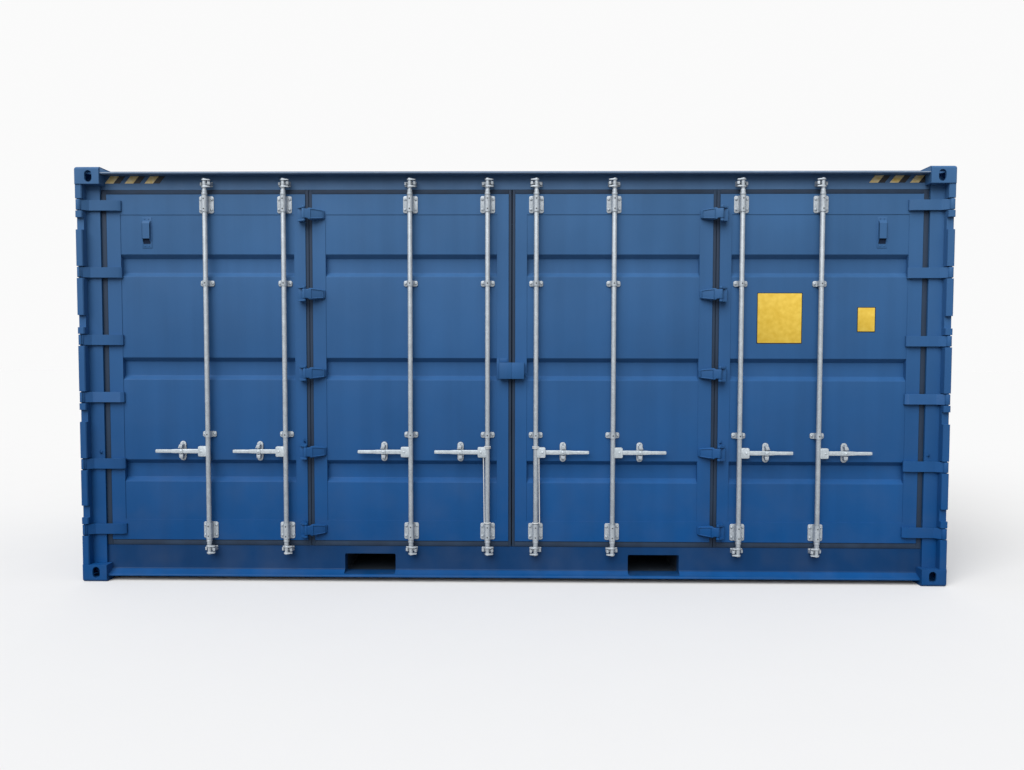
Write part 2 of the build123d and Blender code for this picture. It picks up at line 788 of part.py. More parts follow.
# Door leaves, each drawn between its two upright edges
outer_panel = [outer_leaf[0] - outer_stile, outer_leaf[1] + fold_stile]
inner_panel = [inner_leaf[0] - inner_fold_stile, inner_leaf[1] + centre_stile]
fold_reach = fold_gap / 2 - gasket_clearance
save_pair(leaf_frame(outer_leaf, outer_panel), "outer_leaf_frame")
save_pair(leaf_panel(outer_panel, True), "outer_leaf_panel")
save_pair(leaf_gasket(outer_leaf, [post_gap - gasket_clearance, fold_reach]), "outer_leaf_gasket")
save_pair(lock_fittings(outer_bars, False), "outer_lock_fittings")
save_pair(leaf_frame(inner_leaf, inner_panel), "inner_leaf_frame")
save_pair(leaf_panel(inner_panel, False), "inner_leaf_panel")
save_pair(leaf_gasket(inner_leaf, [fold_reach, centre_gap / 2 - gasket_clearance]), "inner_leaf_gasket")
save_pair(lock_fittings(inner_bars, True), "inner_lock_fittings")
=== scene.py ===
import json
import math

import bmesh
import bpy
from mathutils import Matrix, Vector


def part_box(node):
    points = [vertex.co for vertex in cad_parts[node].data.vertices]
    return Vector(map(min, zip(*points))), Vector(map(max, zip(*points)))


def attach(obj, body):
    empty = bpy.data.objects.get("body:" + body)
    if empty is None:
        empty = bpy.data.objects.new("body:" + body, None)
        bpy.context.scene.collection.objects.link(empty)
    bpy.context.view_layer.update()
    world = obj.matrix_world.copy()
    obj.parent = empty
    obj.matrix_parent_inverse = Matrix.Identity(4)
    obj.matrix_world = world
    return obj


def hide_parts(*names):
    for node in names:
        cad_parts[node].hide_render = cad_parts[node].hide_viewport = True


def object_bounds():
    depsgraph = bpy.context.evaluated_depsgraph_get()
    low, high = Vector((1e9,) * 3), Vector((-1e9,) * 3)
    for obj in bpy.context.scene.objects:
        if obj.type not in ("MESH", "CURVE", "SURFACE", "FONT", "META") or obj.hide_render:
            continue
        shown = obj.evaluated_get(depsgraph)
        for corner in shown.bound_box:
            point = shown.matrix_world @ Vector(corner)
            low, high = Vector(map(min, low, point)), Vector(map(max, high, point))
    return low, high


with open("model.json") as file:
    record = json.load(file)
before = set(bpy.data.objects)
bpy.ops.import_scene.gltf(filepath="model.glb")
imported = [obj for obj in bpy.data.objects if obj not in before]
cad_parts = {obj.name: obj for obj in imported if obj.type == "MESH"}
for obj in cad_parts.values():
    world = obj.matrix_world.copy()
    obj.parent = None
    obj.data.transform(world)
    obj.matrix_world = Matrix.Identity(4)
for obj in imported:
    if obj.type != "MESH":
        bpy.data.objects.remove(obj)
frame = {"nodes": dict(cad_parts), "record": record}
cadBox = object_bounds()
nodes = frame["nodes"]
print("frame loaded:", len(nodes), "nodes")

# camera, at the place that the front castings give

cameraSettings = {
    "place": (0.079, -6.613, 1.626),
    "yaw": -0.810,
    "pitch": -2.449,
    "roll": -0.109,
    "focalPixels": 780,
    "imageWidth": 1024,
    "sensor": 36.0,
    "clipEnd": 100,
}


def makeCamera(p):
    yaw, pitch, roll = (math.radians(p[k]) for k in ("yaw", "pitch", "roll"))
    level = math.cos(pitch)
    ahead = Vector((math.sin(yaw) * level, math.cos(yaw) * level, math.sin(pitch)))
    right = Vector((math.cos(yaw), -math.sin(yaw), 0))
    up = right.cross(ahead)
    turned = Matrix.Rotation(roll, 3, ahead)
    right, up = turned @ right, turned @ up
    cam = bpy.data.objects.new("camera", bpy.data.cameras.new("camera"))
    cam.data.sensor_width = p["sensor"]
    cam.data.lens = p["sensor"] * p["focalPixels"] / p["imageWidth"]
    cam.data.clip_end = p["clipEnd"]
    pose = Matrix((right, up, -ahead)).transposed().to_4x4()
    pose.translation = Vector(p["place"])
    cam.matrix_world = pose
    bpy.context.scene.collection.objects.link(cam)
    bpy.context.scene.camera = cam


makeCamera(cameraSettings)
bpy.context.scene.view_settings.view_transform = "Standard"
print("camera made")

# material helpers

noiseSpan = (0.3, 0.7)  # most of a noise lies between these


def startMaterial(name):
    mat = bpy.data.materials.new(name)
    mat.use_nodes = True
    tree = mat.node_tree
    return mat, tree, tree.nodes["Principled BSDF"]


def feedShader(tree, shader, colour, rough, gloss=0.5):
    tree.links.new(colour, shader.inputs["Base Color"])
    tree.links.new(rough, shader.inputs["Roughness"])
    shader.inputs["Specular IOR Level"].default_value = gloss


def addNode(tree, kind, links=None, **values):
    node = tree.nodes.new("ShaderNode" + kind)
    for key, value in values.items():
        if hasattr(node, key):
            setattr(node, key, value)
        else:
            node.inputs[key.replace("_", " ")].default_value = value
    for key, source in (links or {}).items():
        tree.links.new(source, node.inputs[key])
    return node


def placeCoords(tree, scale=(1, 1, 1)):
    coords = addNode(tree, "TexCoord")
    return addNode(tree, "Mapping", {"Vector": coords.outputs["Object"]}, Scale=scale).outputs["Vector"]


def noise(tree, scale, detail, stretch=(1, 1, 1), rough=0.5):
    links = {"Vector": placeCoords(tree, stretch)}
    node = addNode(tree, "TexNoise", links, Scale=scale, Detail=detail, Roughness=rough)
    return node.outputs["Fac"]


def remap(tree, source, low, high, toLow, toHigh):
    node = addNode(tree, "MapRange", {"Value": source})
    sockets = ("From Min", "From Max", "To Min", "To Max")
    for key, value in zip(sockets, (low, high, toLow, toHigh)):
        node.inputs[key].default_value = value
    return node.outputs["Result"]


def multiply(tree, first, second):
    return addNode(tree, "Math", {0: first, 1: second}, operation="MULTIPLY").outputs[0]


def mixColour(tree, factor, first, second, way="MIX"):
    node = tree.nodes.new("ShaderNodeMix")
    node.data_type = "RGBA"
    node.blend_type = way
    for socket, value in ((node.inputs[0], factor), (node.inputs[6], first), (node.inputs[7], second)):
        if hasattr(value, "is_linked"):
            tree.links.new(value, socket)
        else:
            socket.default_value = value if isinstance(value, float) else (*value, 1.0)
    return node.outputs[2]


def addBump(tree, shader, heights, softEdge=0.0):
    normal = None
    if softEdge:
        normal = addNode(tree, "Bevel", Radius=softEdge).outputs["Normal"]
    for height, strength, distance in heights:
        bump = addNode(tree, "Bump", {"Height": height}, Strength=strength, Distance=distance)
        if normal:
            tree.links.new(normal, bump.inputs["Normal"])
        normal = bump.outputs["Normal"]
    tree.links.new(normal, shader.inputs["Normal"])


def heightAbove(tree, low, high):
    coords = addNode(tree, "TexCoord")
    parts = addNode(tree, "SeparateXYZ", {"Vector": coords.outputs["Object"]})
    return remap(tree, parts.outputs["Z"], low, high, 0.0, 1.0)


# finishes

bluePaintLook = {
    # the low colour at the foot is darker than the high one: painted shade, for the little light that dark
    # ground throws up onto the lower part
    "low": (0.003, 0.066, 0.228),
    "high": (0.048, 0.134, 0.292),
    "fade": (0.3, 2.7),  # heights at which the low and the high colour are reached
    "patches": (1.1, 0.90, 1.08),  # noise scale, darkest and lightest
    "streaks": (9.0, 0.95, 1.04),
    "streakSpan": (0.35, 0.65),
    "streakStretch": (1, 1, 0.05),
    "dust": (0.16, 0.17, 0.17),
    "dustTop": 1.2,
    "dustShares": (0.10, 0.02),  # at the foot and above the dust
    "dustSpots": (5.0, 0.4, 0.75),
    "rough": (14.0, 0.42, 0.58),
    "gloss": 0.15,
    "dents": (2.6, 0.25, 0.012),  # noise scale, strength and depth
    "peel": (420.0, 0.06, 0.0006),
}


def makeBluePaint(name, look, softEdge=0.0):
    mat, tree, shader = startMaterial(name)
    # darker towards the bottom: painted shade
    shadedByHeight = mixColour(tree, heightAbove(tree, *look["fade"]), look["low"], look["high"])
    scale, dark, light = look["patches"]
    patches = remap(tree, noise(tree, scale, 4.0), *noiseSpan, dark, light)
    scale, dark, light = look["streaks"]
    streaks = noise(tree, scale, 5.0, look["streakStretch"])
    streaks = remap(tree, streaks, *look["streakSpan"], dark, light)
    varied = mixColour(tree, 1.0, shadedByHeight, patches, "MULTIPLY")
    varied = mixColour(tree, 1.0, varied, streaks, "MULTIPLY")
    scale, low, high = look["dustSpots"]
    spots = remap(tree, noise(tree, scale, 6.0), low, high, 0.1, 1.0)
    settled = remap(tree, heightAbove(tree, 0.0, look["dustTop"]), 0.0, 1.0, *look["dustShares"])
    coloured = mixColour(tree, multiply(tree, settled, spots), varied, look["dust"])
    scale, low, high = look["rough"]
    rough = remap(tree, noise(tree, scale, 5.0), *noiseSpan, low, high)
    feedShader(tree, shader, coloured, rough, look["gloss"])
    heights = [(noise(tree, scale, 2.0), *sizes) for scale, *sizes in (look["dents"], look["peel"])]
    addBump(tree, shader, heights, softEdge)
    return mat


zincLook = {
    "dark": (0.265, 0.30, 0.335),
    "light": (0.505, 0.55, 0.59),
    "flakes": 170.0,
    "clouds": 22.0,
    "rough": (0.42, 0.60),
    "metal": 0.45,
    "dents": (0.12, 0.001),
    "softEdge": 0.0015,
}
# a lighter copy of the zinc for the handles: painted highlight, for the brighter sheen they catch
zincHighlightLook = dict(zincLook, dark=(0.30, 0.345, 0.385), light=(0.60, 0.66, 0.70))


def makeZinc(name, look):
    mat, tree, shader = startMaterial(name)
    cells = addNode(tree, "TexVoronoi", {"Vector": placeCoords(tree)}, Scale=look["flakes"])
    flakes = addNode(tree, "SeparateColor", {"Color": cells.outputs["Color"]}).outputs["Red"]
    clouds = noise(tree, look["clouds"], 4.0)
    flakeShade = remap(tree, flakes, 0.0, 1.0, 0.45, 1.0)
    cloudShade = remap(tree, clouds, *noiseSpan, 0.55, 1.0)
    mixed = mixColour(tree, multiply(tree, flakeShade, cloudShade), look["dark"], look["light"])
    feedShader(tree, shader, mixed, remap(tree, flakes, 0.0, 1.0, *look["rough"]))
    shader.inputs["Metallic"].default_value = look["metal"]
    addBump(tree, shader, [(clouds, *look["dents"])], look["softEdge"])
    return mat


rubberLook = {
    "dark": (0.015, 0.029, 0.056),
    "light": (0.026, 0.048, 0.088),
    "bloom": (8.0, 0.35, 0.7),  # noise scale, and the span in which the bloom comes up
    "bloomStretch": (1, 1, 0.3),
    "rough": (0.60, 0.80),
    "gloss": 0.25,
    "grain": (160.0, 0.15, 0.0008),
}


def makeRubber(name, look):
    mat, tree, shader = startMaterial(name)
    scale, low, high = look["bloom"]
    bloom = remap(tree, noise(tree, scale, 5.0, look["bloomStretch"]), low, high, 0.0, 1.0)
    colour = mixColour(tree, bloom, look["dark"], look["light"])
    feedShader(tree, shader, colour, remap(tree, bloom, 0.0, 1.0, *look["rough"]), look["gloss"])
    scale, strength, depth = look["grain"]
    addBump(tree, shader, [(noise(tree, scale, 3.0), strength, depth)])
    return mat


plywoodLook = {
    "Brick Width": 2.4,
    "Row Height": 1.16,
    "Mortar Size": 0.004,
    "Color1": (0.24, 0.13, 0.065, 1),
    "Color2": (0.30, 0.17, 0.085, 1),
    "Mortar": (0.03, 0.02, 0.015, 1),
}


def makePlywood(name, look):
    mat, tree, shader = startMaterial(name)
    boards = addNode(tree, "TexBrick", {"Vector": placeCoords(tree)}, Scale=1.0)
    for key, value in look.items():
        boards.inputs[key].default_value = value
    grain = noise(tree, 6.0, 8.0, (0.6, 9.0, 9.0), 0.65)  # drawn out along the boards
    shade = remap(tree, grain, *noiseSpan, 0.7, 1.2)
    colour = mixColour(tree, 1.0, boards.outputs["Color"], shade, "MULTIPLY")
    feedShader(tree, shader, colour, remap(tree, grain, *noiseSpan, 0.55, 0.75))
    addBump(tree, shader, [(grain, 0.2, 0.001)])
    return mat


plainLook = {"roughSpread": 0.08, "gloss": 0.25, "peel": (300.0, 0.08, 0.0005), "softEdge": 0.0015}


def makePlainPaint(name, dark, light, roughness, grain=30.0):
    mat, tree, shader = startMaterial(name)
    cloud = noise(tree, grain, 5.0)
    factor = remap(tree, cloud, *noiseSpan, 0.0, 1.0)
    spread = plainLook["roughSpread"]
    rough = remap(tree, cloud, *noiseSpan, roughness - spread, roughness + spread)
    feedShader(tree, shader, mixColour(tree, factor, dark, light), rough, plainLook["gloss"])
    scale, strength, depth = plainLook["peel"]
    addBump(tree, shader, [(noise(tree, scale, 2.0), strength, depth)], plainLook["softEdge"])
    return mat


# the sill is painted darker than the doors: painted shade, for the shade its web lies in under the doors
sillShadePaintLook = dict(bluePaintLook, low=(0.002, 0.038, 0.130), high=(0.002, 0.038, 0.130))
# the front top rail is painted paler than the doors: painted light, lifting the rail out of the shade under
# its lip
railLightPaintLook = dict(bluePaintLook, low=(0.070, 0.150, 0.290), high=(0.070, 0.150, 0.290))
bluePaint = makeBluePaint("bluePaint", bluePaintLook, 0.003)
sillPaint = makeBluePaint("sillPaint", sillShadePaintLook, 0.003)
railPaint = makeBluePaint("railPaint", railLightPaintLook, 0.003)
sheetPaint = makeBluePaint("sheetPaint", bluePaintLook)
zinc = makeZinc("zinc", zincLook)
brightZinc = makeZinc("brightZinc", zincHighlightLook)
rubber = makeRubber("rubber", rubberLook)
plywood = makePlywood("plywood", plywoodLook)
underCoat = makePlainPaint("underCoat", (0.012, 0.018, 0.028), (0.024, 0.034, 0.048), 0.7)
yellowSheet = makePlainPaint("yellowSheet", (0.72, 0.47, 0.05), (0.83, 0.58, 0.09), 0.45)
dullYellow = makePlainPaint("dullYellow", (0.72, 0.49, 0.11), (0.76, 0.68, 0.46), 0.55)
blackInk = makePlainPaint("blackInk", (0.012, 0.013, 0.016), (0.022, 0.024, 0.028), 0.5)
# near-black for the vent's mouth: partly the gauze, partly painted shade of the dark hole behind it
ventGauze = makePlainPaint("ventGauze", (0.003, 0.010, 0.030), (0.006, 0.018, 0.048), 0.85, 400.0)
darkSteel = makePlainPaint("darkSteel", (0.05, 0.052, 0.055), (0.11, 0.115, 0.12), 0.5, 90.0)
# pale paint for the rolled lip along the top rail: painted highlight
bleachedPaint = makePlainPaint("bleachedPaint", (0.26, 0.33, 0.42), (0.36, 0.43, 0.52), 0.45)
ropeFibre = makePlainPaint("ropeFibre", (0.52, 0.54, 0.55), (0.70, 0.72, 0.73), 0.8, 200.0)
print("materials made")

slotFinish = {
    "blue_paint": bluePaint,
    "galvanised_steel": zinc,
    "gasket_rubber": rubber,
    "floor_plywood": plywood,
    "underframe_paint": underCoat,
}
for part in frame["record"]["subparts"]:
    data = nodes[part["node"]].data
    data.materials.clear()
    data.materials.append(slotFinish[part["material_slot"]])
for node in ("rear_wall", "left_end_wall", "right_end_wall", "roof_panel"):
    nodes[node].data.materials[0] = sheetPaint
# paler paint on the top rail, which is painted light
nodes["front_top_rail"].data.materials[0] = railPaint

# mesh helpers

fineRound, plainRound, softRound = 0.001, 0.0015, 0.002  # edges of small fittings
toFront = (0, -1, 0)


def soften(bm, edges, size, segments=2):
    bmesh.ops.bevel(bm, geom=list(edges), offset=size, segments=segments, affect="EDGES", profile=0.5)


def addBlock(bm, low, high, rounding=0.0):
    made = bmesh.ops.create_cube(bm, size=1)["verts"]
    for v in made:
        v.co = Vector([(a + b) / 2 + c * abs(b - a) for a, b, c in zip(low, high, v.co)])
    if rounding:
        soften(bm, {e for v in made for e in v.link_edges}, rounding)


def addRod(bm, start, stop, radius, sides=24, rounding=0.0):
    start, stop = Vector(start), Vector(stop)
    along = stop - start
    turn = along.to_track_quat("Z", "Y").to_matrix().to_4x4()
    turn.translation = (start + stop) / 2
    made = bmesh.ops.create_cone(bm, cap_ends=True, segments=sides, radius1=radius, radius2=radius,
                                 depth=along.length, matrix=turn)["verts"]
    if rounding:
        edges = {e for v in made for e in v.link_edges}
        soften(bm, [e for e in edges if any(len(f.verts) > 4 for f in e.link_faces)], rounding)


def addUpright(bm, x, y, start, stop, radius, sides=24, rounding=0.0):
    addRod(bm, (x, y, start), (x, y, stop), radius, sides, rounding)


def arc(middle, radius, start, sweep, steps):
    # points along part of a circle, as pairs
    turns = [start + sweep * i / steps for i in range(steps + 1)]
    return [(middle[0] + radius * math.cos(a), middle[1] + radius * math.sin(a)) for a in turns]


def circle(radius, sides):
    return arc((0, 0), radius, 0.0, math.tau, sides)[:-1]


def joinLoops(bm, first, second):
    count = len(first)
    for i in range(count):
        after = (i + 1) % count
        bm.faces.new((first[i], first[after], second[after], second[i]))


def addDome(bm, base, normal, radius, height, sides=14, rings=4):
    turn = Vector(normal).to_track_quat("Z", "Y").to_matrix()
    loops = []
    for i in range(rings):
        angle = math.pi / 2 * i / rings
        up = height * math.sin(angle)
        ring = [Vector((a, b, up)) for a, b in circle(radius * math.cos(angle), sides)]
        loops.append([bm.verts.new(Vector(base) + turn @ v) for v in ring])
    top = bm.verts.new(Vector(base) + turn @ Vector((0, 0, height)))
    for a, b in zip(loops, loops[1:]):
        joinLoops(bm, a, b)
    for j in range(sides):
        bm.faces.new((loops[-1][j], loops[-1][(j + 1) % sides], top))
    bm.faces.new(loops[0])


def addLoft(bm, rings):
    # skin through matching rings of points, closed at both ends
    loops = [[bm.verts.new(p) for p in ring] for ring in rings]
    for a, b in zip(loops, loops[1:]):
        joinLoops(bm, a, b)
    bm.faces.new(loops[0])
    bm.faces.new(loops[-1])


def addPrism(bm, outline, away, rounding=0.0):
    away = Vector(away)
    base = [bm.verts.new(p) for p in outline]
    top = [bm.verts.new(Vector(p) + away) for p in outline]
    bm.faces.new(base)
    bm.faces.new(top)
    joinLoops(bm, base, top)
    bm.normal_update()
    if rounding:
        soften(bm, {e for v in top for e in v.link_edges if e.other_vert(v) in top}, rounding)


def stadium(middle, width, height, steps=10):
    # tall outline with round ends, as pairs
    radius = width / 2
    rise = height / 2 - radius
    upper = arc((middle[0], middle[1] + rise), radius, 0.0, math.pi, steps)
    return upper + arc((middle[0], middle[1] - rise), radius, math.pi, math.pi, steps)


def roundedBox(low, high, radius, steps=3):
    # corner-rounded outline of a flat box, as pairs
    points = []
    corners = ((high[0], high[1]), (low[0], high[1]), (low[0], low[1]), (high[0], low[1]))
    for quarter, (a, b) in enumerate(corners):
        ca = a - radius if quarter in (0, 3) else a + radius
        cb = b - radius if quarter in (0, 1) else b + radius
        points += arc((ca, cb), radius, math.pi / 2 * quarter, math.pi / 2, steps)
    return points


def roundedPath(points, radius, steps=5):
    # open line of pairs with its inner corners rounded
    mostOfSide = 0.48
    done = [points[0]]
    for before, here, after in zip(points, points[1:], points[2:]):
        a, b, c = Vector(before), Vector(here), Vector(after)
        one, two = (a - b).normalized(), (c - b).normalized()
        half = one.angle(two) / 2
        shorter = min((a - b).length, (c - b).length)
        reach = min(radius / math.tan(half), shorter * mostOfSide)
        for i in range(steps + 1):
            t = i / steps
            p = (1 - t) ** 2 * (b + one * reach) + 2 * t * (1 - t) * b + t ** 2 * (b + two * reach)
            done.append((p.x, p.y))
    done.append(points[-1])
    return done


def addTube(bm, points, radius, sides=8):
    # round cord or wire through a line of points
    points = [Vector(p) for p in points]
    last = len(points) - 1
    rings = []
    side = None
    for i, p in enumerate(points):
        along = (points[min(i + 1, last)] - points[max(i - 1, 0)]).normalized()
        side = along.orthogonal() if side is None else side - along * side.dot(along)
        side.normalize()
        other = along.cross(side)
        rings.append([p + a * side + b * other for a, b in circle(radius, sides)])
    addLoft(bm, rings)


def addPlate(bm, low, high, back, front, corner, rounding=plainRound):
    # upright plate with rounded corners, given by its lower and upper x, z
    outline = roundedBox(low, high, corner)
    addPrism(bm, [(a, back, b) for a, b in outline], (0, front - back, 0), rounding)


def sideBox(bm, s, x0, x1, y0, y1, z0, z1, rounding=0.0):
    # block on one side of the middle, its x counted outwards
    addBlock(bm, (s * x0, y0, z0), (s * x1, y1, z1), rounding)


def paintNew(bm, before, index):
    # gives the faces that stand after the count their material
    bm.faces.ensure_lookup_table()
    for face in bm.faces[before:]:
        face.material_index = index


def newObject(name, bm):
    bmesh.ops.recalc_face_normals(bm, faces=bm.faces)
    mesh = bpy.data.meshes.new(name)
    bm.to_mesh(mesh)
    bm.free()
    obj = bpy.data.objects.new(name, mesh)
    bpy.context.scene.collection.objects.link(obj)
    return obj


def finishPiece(name, bm, mats, body, smooth=35):
    obj = newObject(name, bm)
    for mat in mats:
        obj.data.materials.append(mat)
    obj.data.shade_smooth()
    obj.data.set_sharp_from_angle(angle=math.radians(smooth))
    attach(obj, body)
    return obj


def prismObject(name, outline, away):
    bm = bmesh.new()
    addPrism(bm, outline, away)
    return newObject(name, bm)


def cutMesh(whole, cutters):
    # mesh that is left of the whole when every cutter is taken away
    for cutter in cutters:
        cut = whole.modifiers.new("cut", "BOOLEAN")
        cut.object = cutter
        cut.operation = "DIFFERENCE"
        cut.solver = "EXACT"
    bpy.context.view_layer.update()
    done = whole.evaluated_get(bpy.context.evaluated_depsgraph_get())
    mesh = bpy.data.meshes.new_from_object(done)
    for obj in [whole] + cutters:
        bpy.data.objects.remove(obj)
    return mesh


# places taken from the frame

bothSides = (-1, 1)
halves = ((-1, "left"), (1, "right"))
leaves = [(s, name, leaf) for s, name in halves for leaf in ("outer", "inner")]
joints = {j["name"]: j for j in frame["record"]["behaviour"]["joints"]}
frameLow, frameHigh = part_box("left_outer_leaf_frame")
doorFace = frameLow.y
leafTop, leafBottom = frameHigh.z, frameLow.z
leafHeight = leafTop - leafBottom
leafMiddle = (leafTop + leafBottom) / 2
barLow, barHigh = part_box("left_lock_bar_1")
barLine = joints["left_bar_1_turn"]["pos_m"][1]
barPlaces = [joints[f"right_bar_{n}_turn"]["pos_m"][0] for n in (1, 2, 3, 4)]
postPin = Vector(joints["right_outer_leaf_swing"]["pos_m"])
foldPin = Vector(joints["right_inner_leaf_fold"]["pos_m"])
frontPlane = cadBox[0][1]
endPlane = cadBox[1][0]
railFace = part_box("cam_keepers")[1].y

# lock bars

lockBar = {
    "radius": 0.0165, "endGap": 0.006,
    "collar": (0.0195, 0.008, 0.010),  # radius, and its reach to either side of the bar's end
    "sleeve": 0.03, "neck": 0.0135, "camHalf": 0.033, "camRadius": 0.019,
    "camRing": (0.018, 0.012), "camWeb": (0.012, 0.009, 0.020),
    "prong": ((0.020, 0.016), (0.034, 0.011), (0.040, 0.006)),  # reach and half width
    "prongThick": 0.009, "prongGap": 0.037, "hubNear": 0.008, "hubFar": 0.068, "hubHalf": 0.036,
    "hubCorner": 0.009, "hubThick": 0.013, "hubRoom": 0.006, "hubRoot": (0.024, 0.0065, 0.030),
    "rivet": (0.008, 0.0035), "rivetFromBar": 0.046,
    "handleShare": 0.2383,  # how far the handles lie below the leaf's middle
    "handle": ((0.040, 0.0155, 0.006), (0.180, 0.0155, 0.006), (0.235, 0.0145, 0.0058),
               (0.268, 0.0120, 0.0052), (0.285, 0.0125, 0.0058), (0.366, 0.0120, 0.0058),
               (0.372, 0.0095, 0.004)),  # reach, half height and half thickness
    "handleRound": 0.7, "catchFromBar": 0.191, "grip": (0.015, 0.0118, 0.0155),
    "gripRound": 0.004,
}
camLevels = ((barHigh.z - lockBar["camHalf"], 1), (barLow.z + lockBar["camHalf"], -1))
handleLevel = leafMiddle - lockBar["handleShare"] * leafHeight


def addCam(bm, x, s, z, up, p):
    # neck with two flat prongs that point to the middle of the side
    half, thick, radius = p["camHalf"], p["prongThick"], p["camRadius"]
    addUpright(bm, x, barLine, z - half, z + half, p["neck"], rounding=fineRound)
    outline = [(-s * a, b) for a, b in arc((0, 0), radius, math.pi / 2, math.pi, 12)]
    outline += [(-s * a, -b) for a, b in p["prong"]]
    outline += [(-s * a, b) for a, b in reversed(p["prong"])]
    for side in bothSides:
        level = z + (side * (p["prongGap"] + thick) - thick) / 2
        addPrism(bm, [(x + a, barLine + b, level) for a, b in outline], (0, 0, thick), plainRound)
    radius, tall = p["camRing"]
    addUpright(bm, x, barLine, z - up * half, z - up * (half - tall), radius, rounding=softRound)
    reach, deep, tall = p["camWeb"]
    addBlock(bm, (x, barLine - deep, z - tall), (x - s * reach, barLine + deep, z + tall), softRound)


def addHandle(bm, x, s, p):
    # two cheeks on the bar, the flat handle between them and the grip that lies in the catch
    z = handleLevel
    root = x + s * p["hubNear"]
    near, far = sorted((root, x + s * p["hubFar"]))
    outline = roundedBox((near, z - p["hubHalf"]), (far, z + p["hubHalf"]), p["hubCorner"])
    for cheek in bothSides:
        ring = [(a, barLine + cheek * p["hubRoom"], b) for a, b in outline]
        addPrism(bm, ring, (0, cheek * (p["hubThick"] - p["hubRoom"]), 0), softRound)
    reach, deep, tall = p["hubRoot"]
    addBlock(bm, (root, barLine - deep, z - tall), (root + s * reach, barLine + deep, z + tall))
    addDome(bm, (x + s * p["rivetFromBar"], barLine - p["hubThick"], z), toFront, *p["rivet"])
    rings = []
    for along, half, thick in p["handle"]:
        ring = roundedBox((-thick, -half), (thick, half), thick * p["handleRound"])
        rings.append([(x + s * along, barLine + a, z + b) for a, b in ring])
    addLoft(bm, rings)
    catch = Vector((x + s * p["catchFromBar"], barLine, z))
    grip = Vector(p["grip"])
    addBlock(bm, catch - grip, catch + grip, p["gripRound"])
    addDome(bm, (catch.x, barLine - grip.y, z), toFront, *p["rivet"])


def makeLockBars(p):
    low, high = leafBottom + p["endGap"], leafTop - p["endGap"]
    radius, below, above = p["collar"]
    (upper, _), (lower, _) = camLevels
    for s, name in halves:
        for number, place in enumerate(barPlaces, 1):
            x = s * place
            bm = bmesh.new()
            addHandle(bm, x, s, p)
            # the handle takes the lighter zinc, which is a painted highlight
            paintNew(bm, 0, 1)
            addUpright(bm, x, barLine, low, high, p["radius"], 28, softRound)
            for level, up in ((high, 1), (low, -1)):
                start, stop = level - up * below, level + up * above
                addUpright(bm, x, barLine, start, stop, radius, rounding=softRound)
                addUpright(bm, x, barLine, level, level + up * p["sleeve"], p["radius"], rounding=fineRound)
            addUpright(bm, x, barLine, lower, upper, p["neck"], 20)
            for z, up in camLevels:
                addCam(bm, x, s, z, up, p)
            mats = [zinc, brightZinc]
            body = f"{name}_bar_{number}"
            piece = finishPiece(f"{name}LockBar{number}", bm, mats, body)
            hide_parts(f"{name}_lock_bar_{number}")


makeLockBars(lockBar)
print("lock bars made")

# cam keepers, a plate on the rail with a tapered lug each side of the bar

keeperLook = {
    "plate": (0.084, 0.034, 0.004), "corner": 0.005, "near": 0.026, "far": 0.040, "half": 0.011,
    "taper": 0.008, "flare": 0.002, "long": 0.061, "short": 0.034,
}


def addKeeper(bm, x, s, z, p):
    wide, tall, thick = p["plate"]
    low, high = (x - wide / 2, z - tall / 2), (x + wide / 2, z + tall / 2)
    addPlate(bm, low, high, railFace, railFace - thick, p["corner"])
    for side, reach in ((-s, p["long"]), (s, p["short"])):
        near, far = x + side * p["near"], x + side * p["far"]
        front = railFace - reach
        root = far + side * p["flare"]
        lug = [(near, railFace), (near, front), (far, front + p["taper"]), (root, railFace)]
        addPrism(bm, [(a, b, z - p["half"]) for a, b in lug], (0, 0, 2 * p["half"]), plainRound)


def makeKeepers(p):
    bm = bmesh.new()
    for s in bothSides:
        for place in barPlaces:
            for z, _ in camLevels:
                addKeeper(bm, s * place, s, z, p)
    piece = finishPiece("camKeepers", bm, [zinc], "frame")
    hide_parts("cam_keepers")


makeKeepers(keeperLook)
print("keepers made")

# brackets and catches

fittings = {
    "large": (0.102, 0.118, 0.014),  # width, height and distance from the leaf's end
    "small": (0.097, 0.040), "smallShares": (0.2453, -0.1894), "plate": 0.006, "corner": 0.012,
    "crown": 0.021, "hatFoot": 0.006, "sheet": 0.0035, "twoBoltsFrom": 0.1, "tallTrim": 0.003,
    "slimTrim": 0.001, "boltFromEnd": 0.024, "boltAside": 0.002, "washer": (0.0105, 0.002),
    "boltHead": (0.0085, 0.0055), "rivet": (0.0055, 0.0018), "sink": 0.0005, "rivetSink": 0.0004,
    "catchWidth": 0.044, "catchHeight": 0.138, "catchRivet": (0.0075, 0.005),
    "rivetFromHandle": 0.0575, "jawWidth": 0.030, "jawHeight": 0.026, "jawTaper": 0.8,
    "jawLean": 0.008, "jawClear": 0.0215, "jawFront": 0.031, "jawRound": 0.004,
}


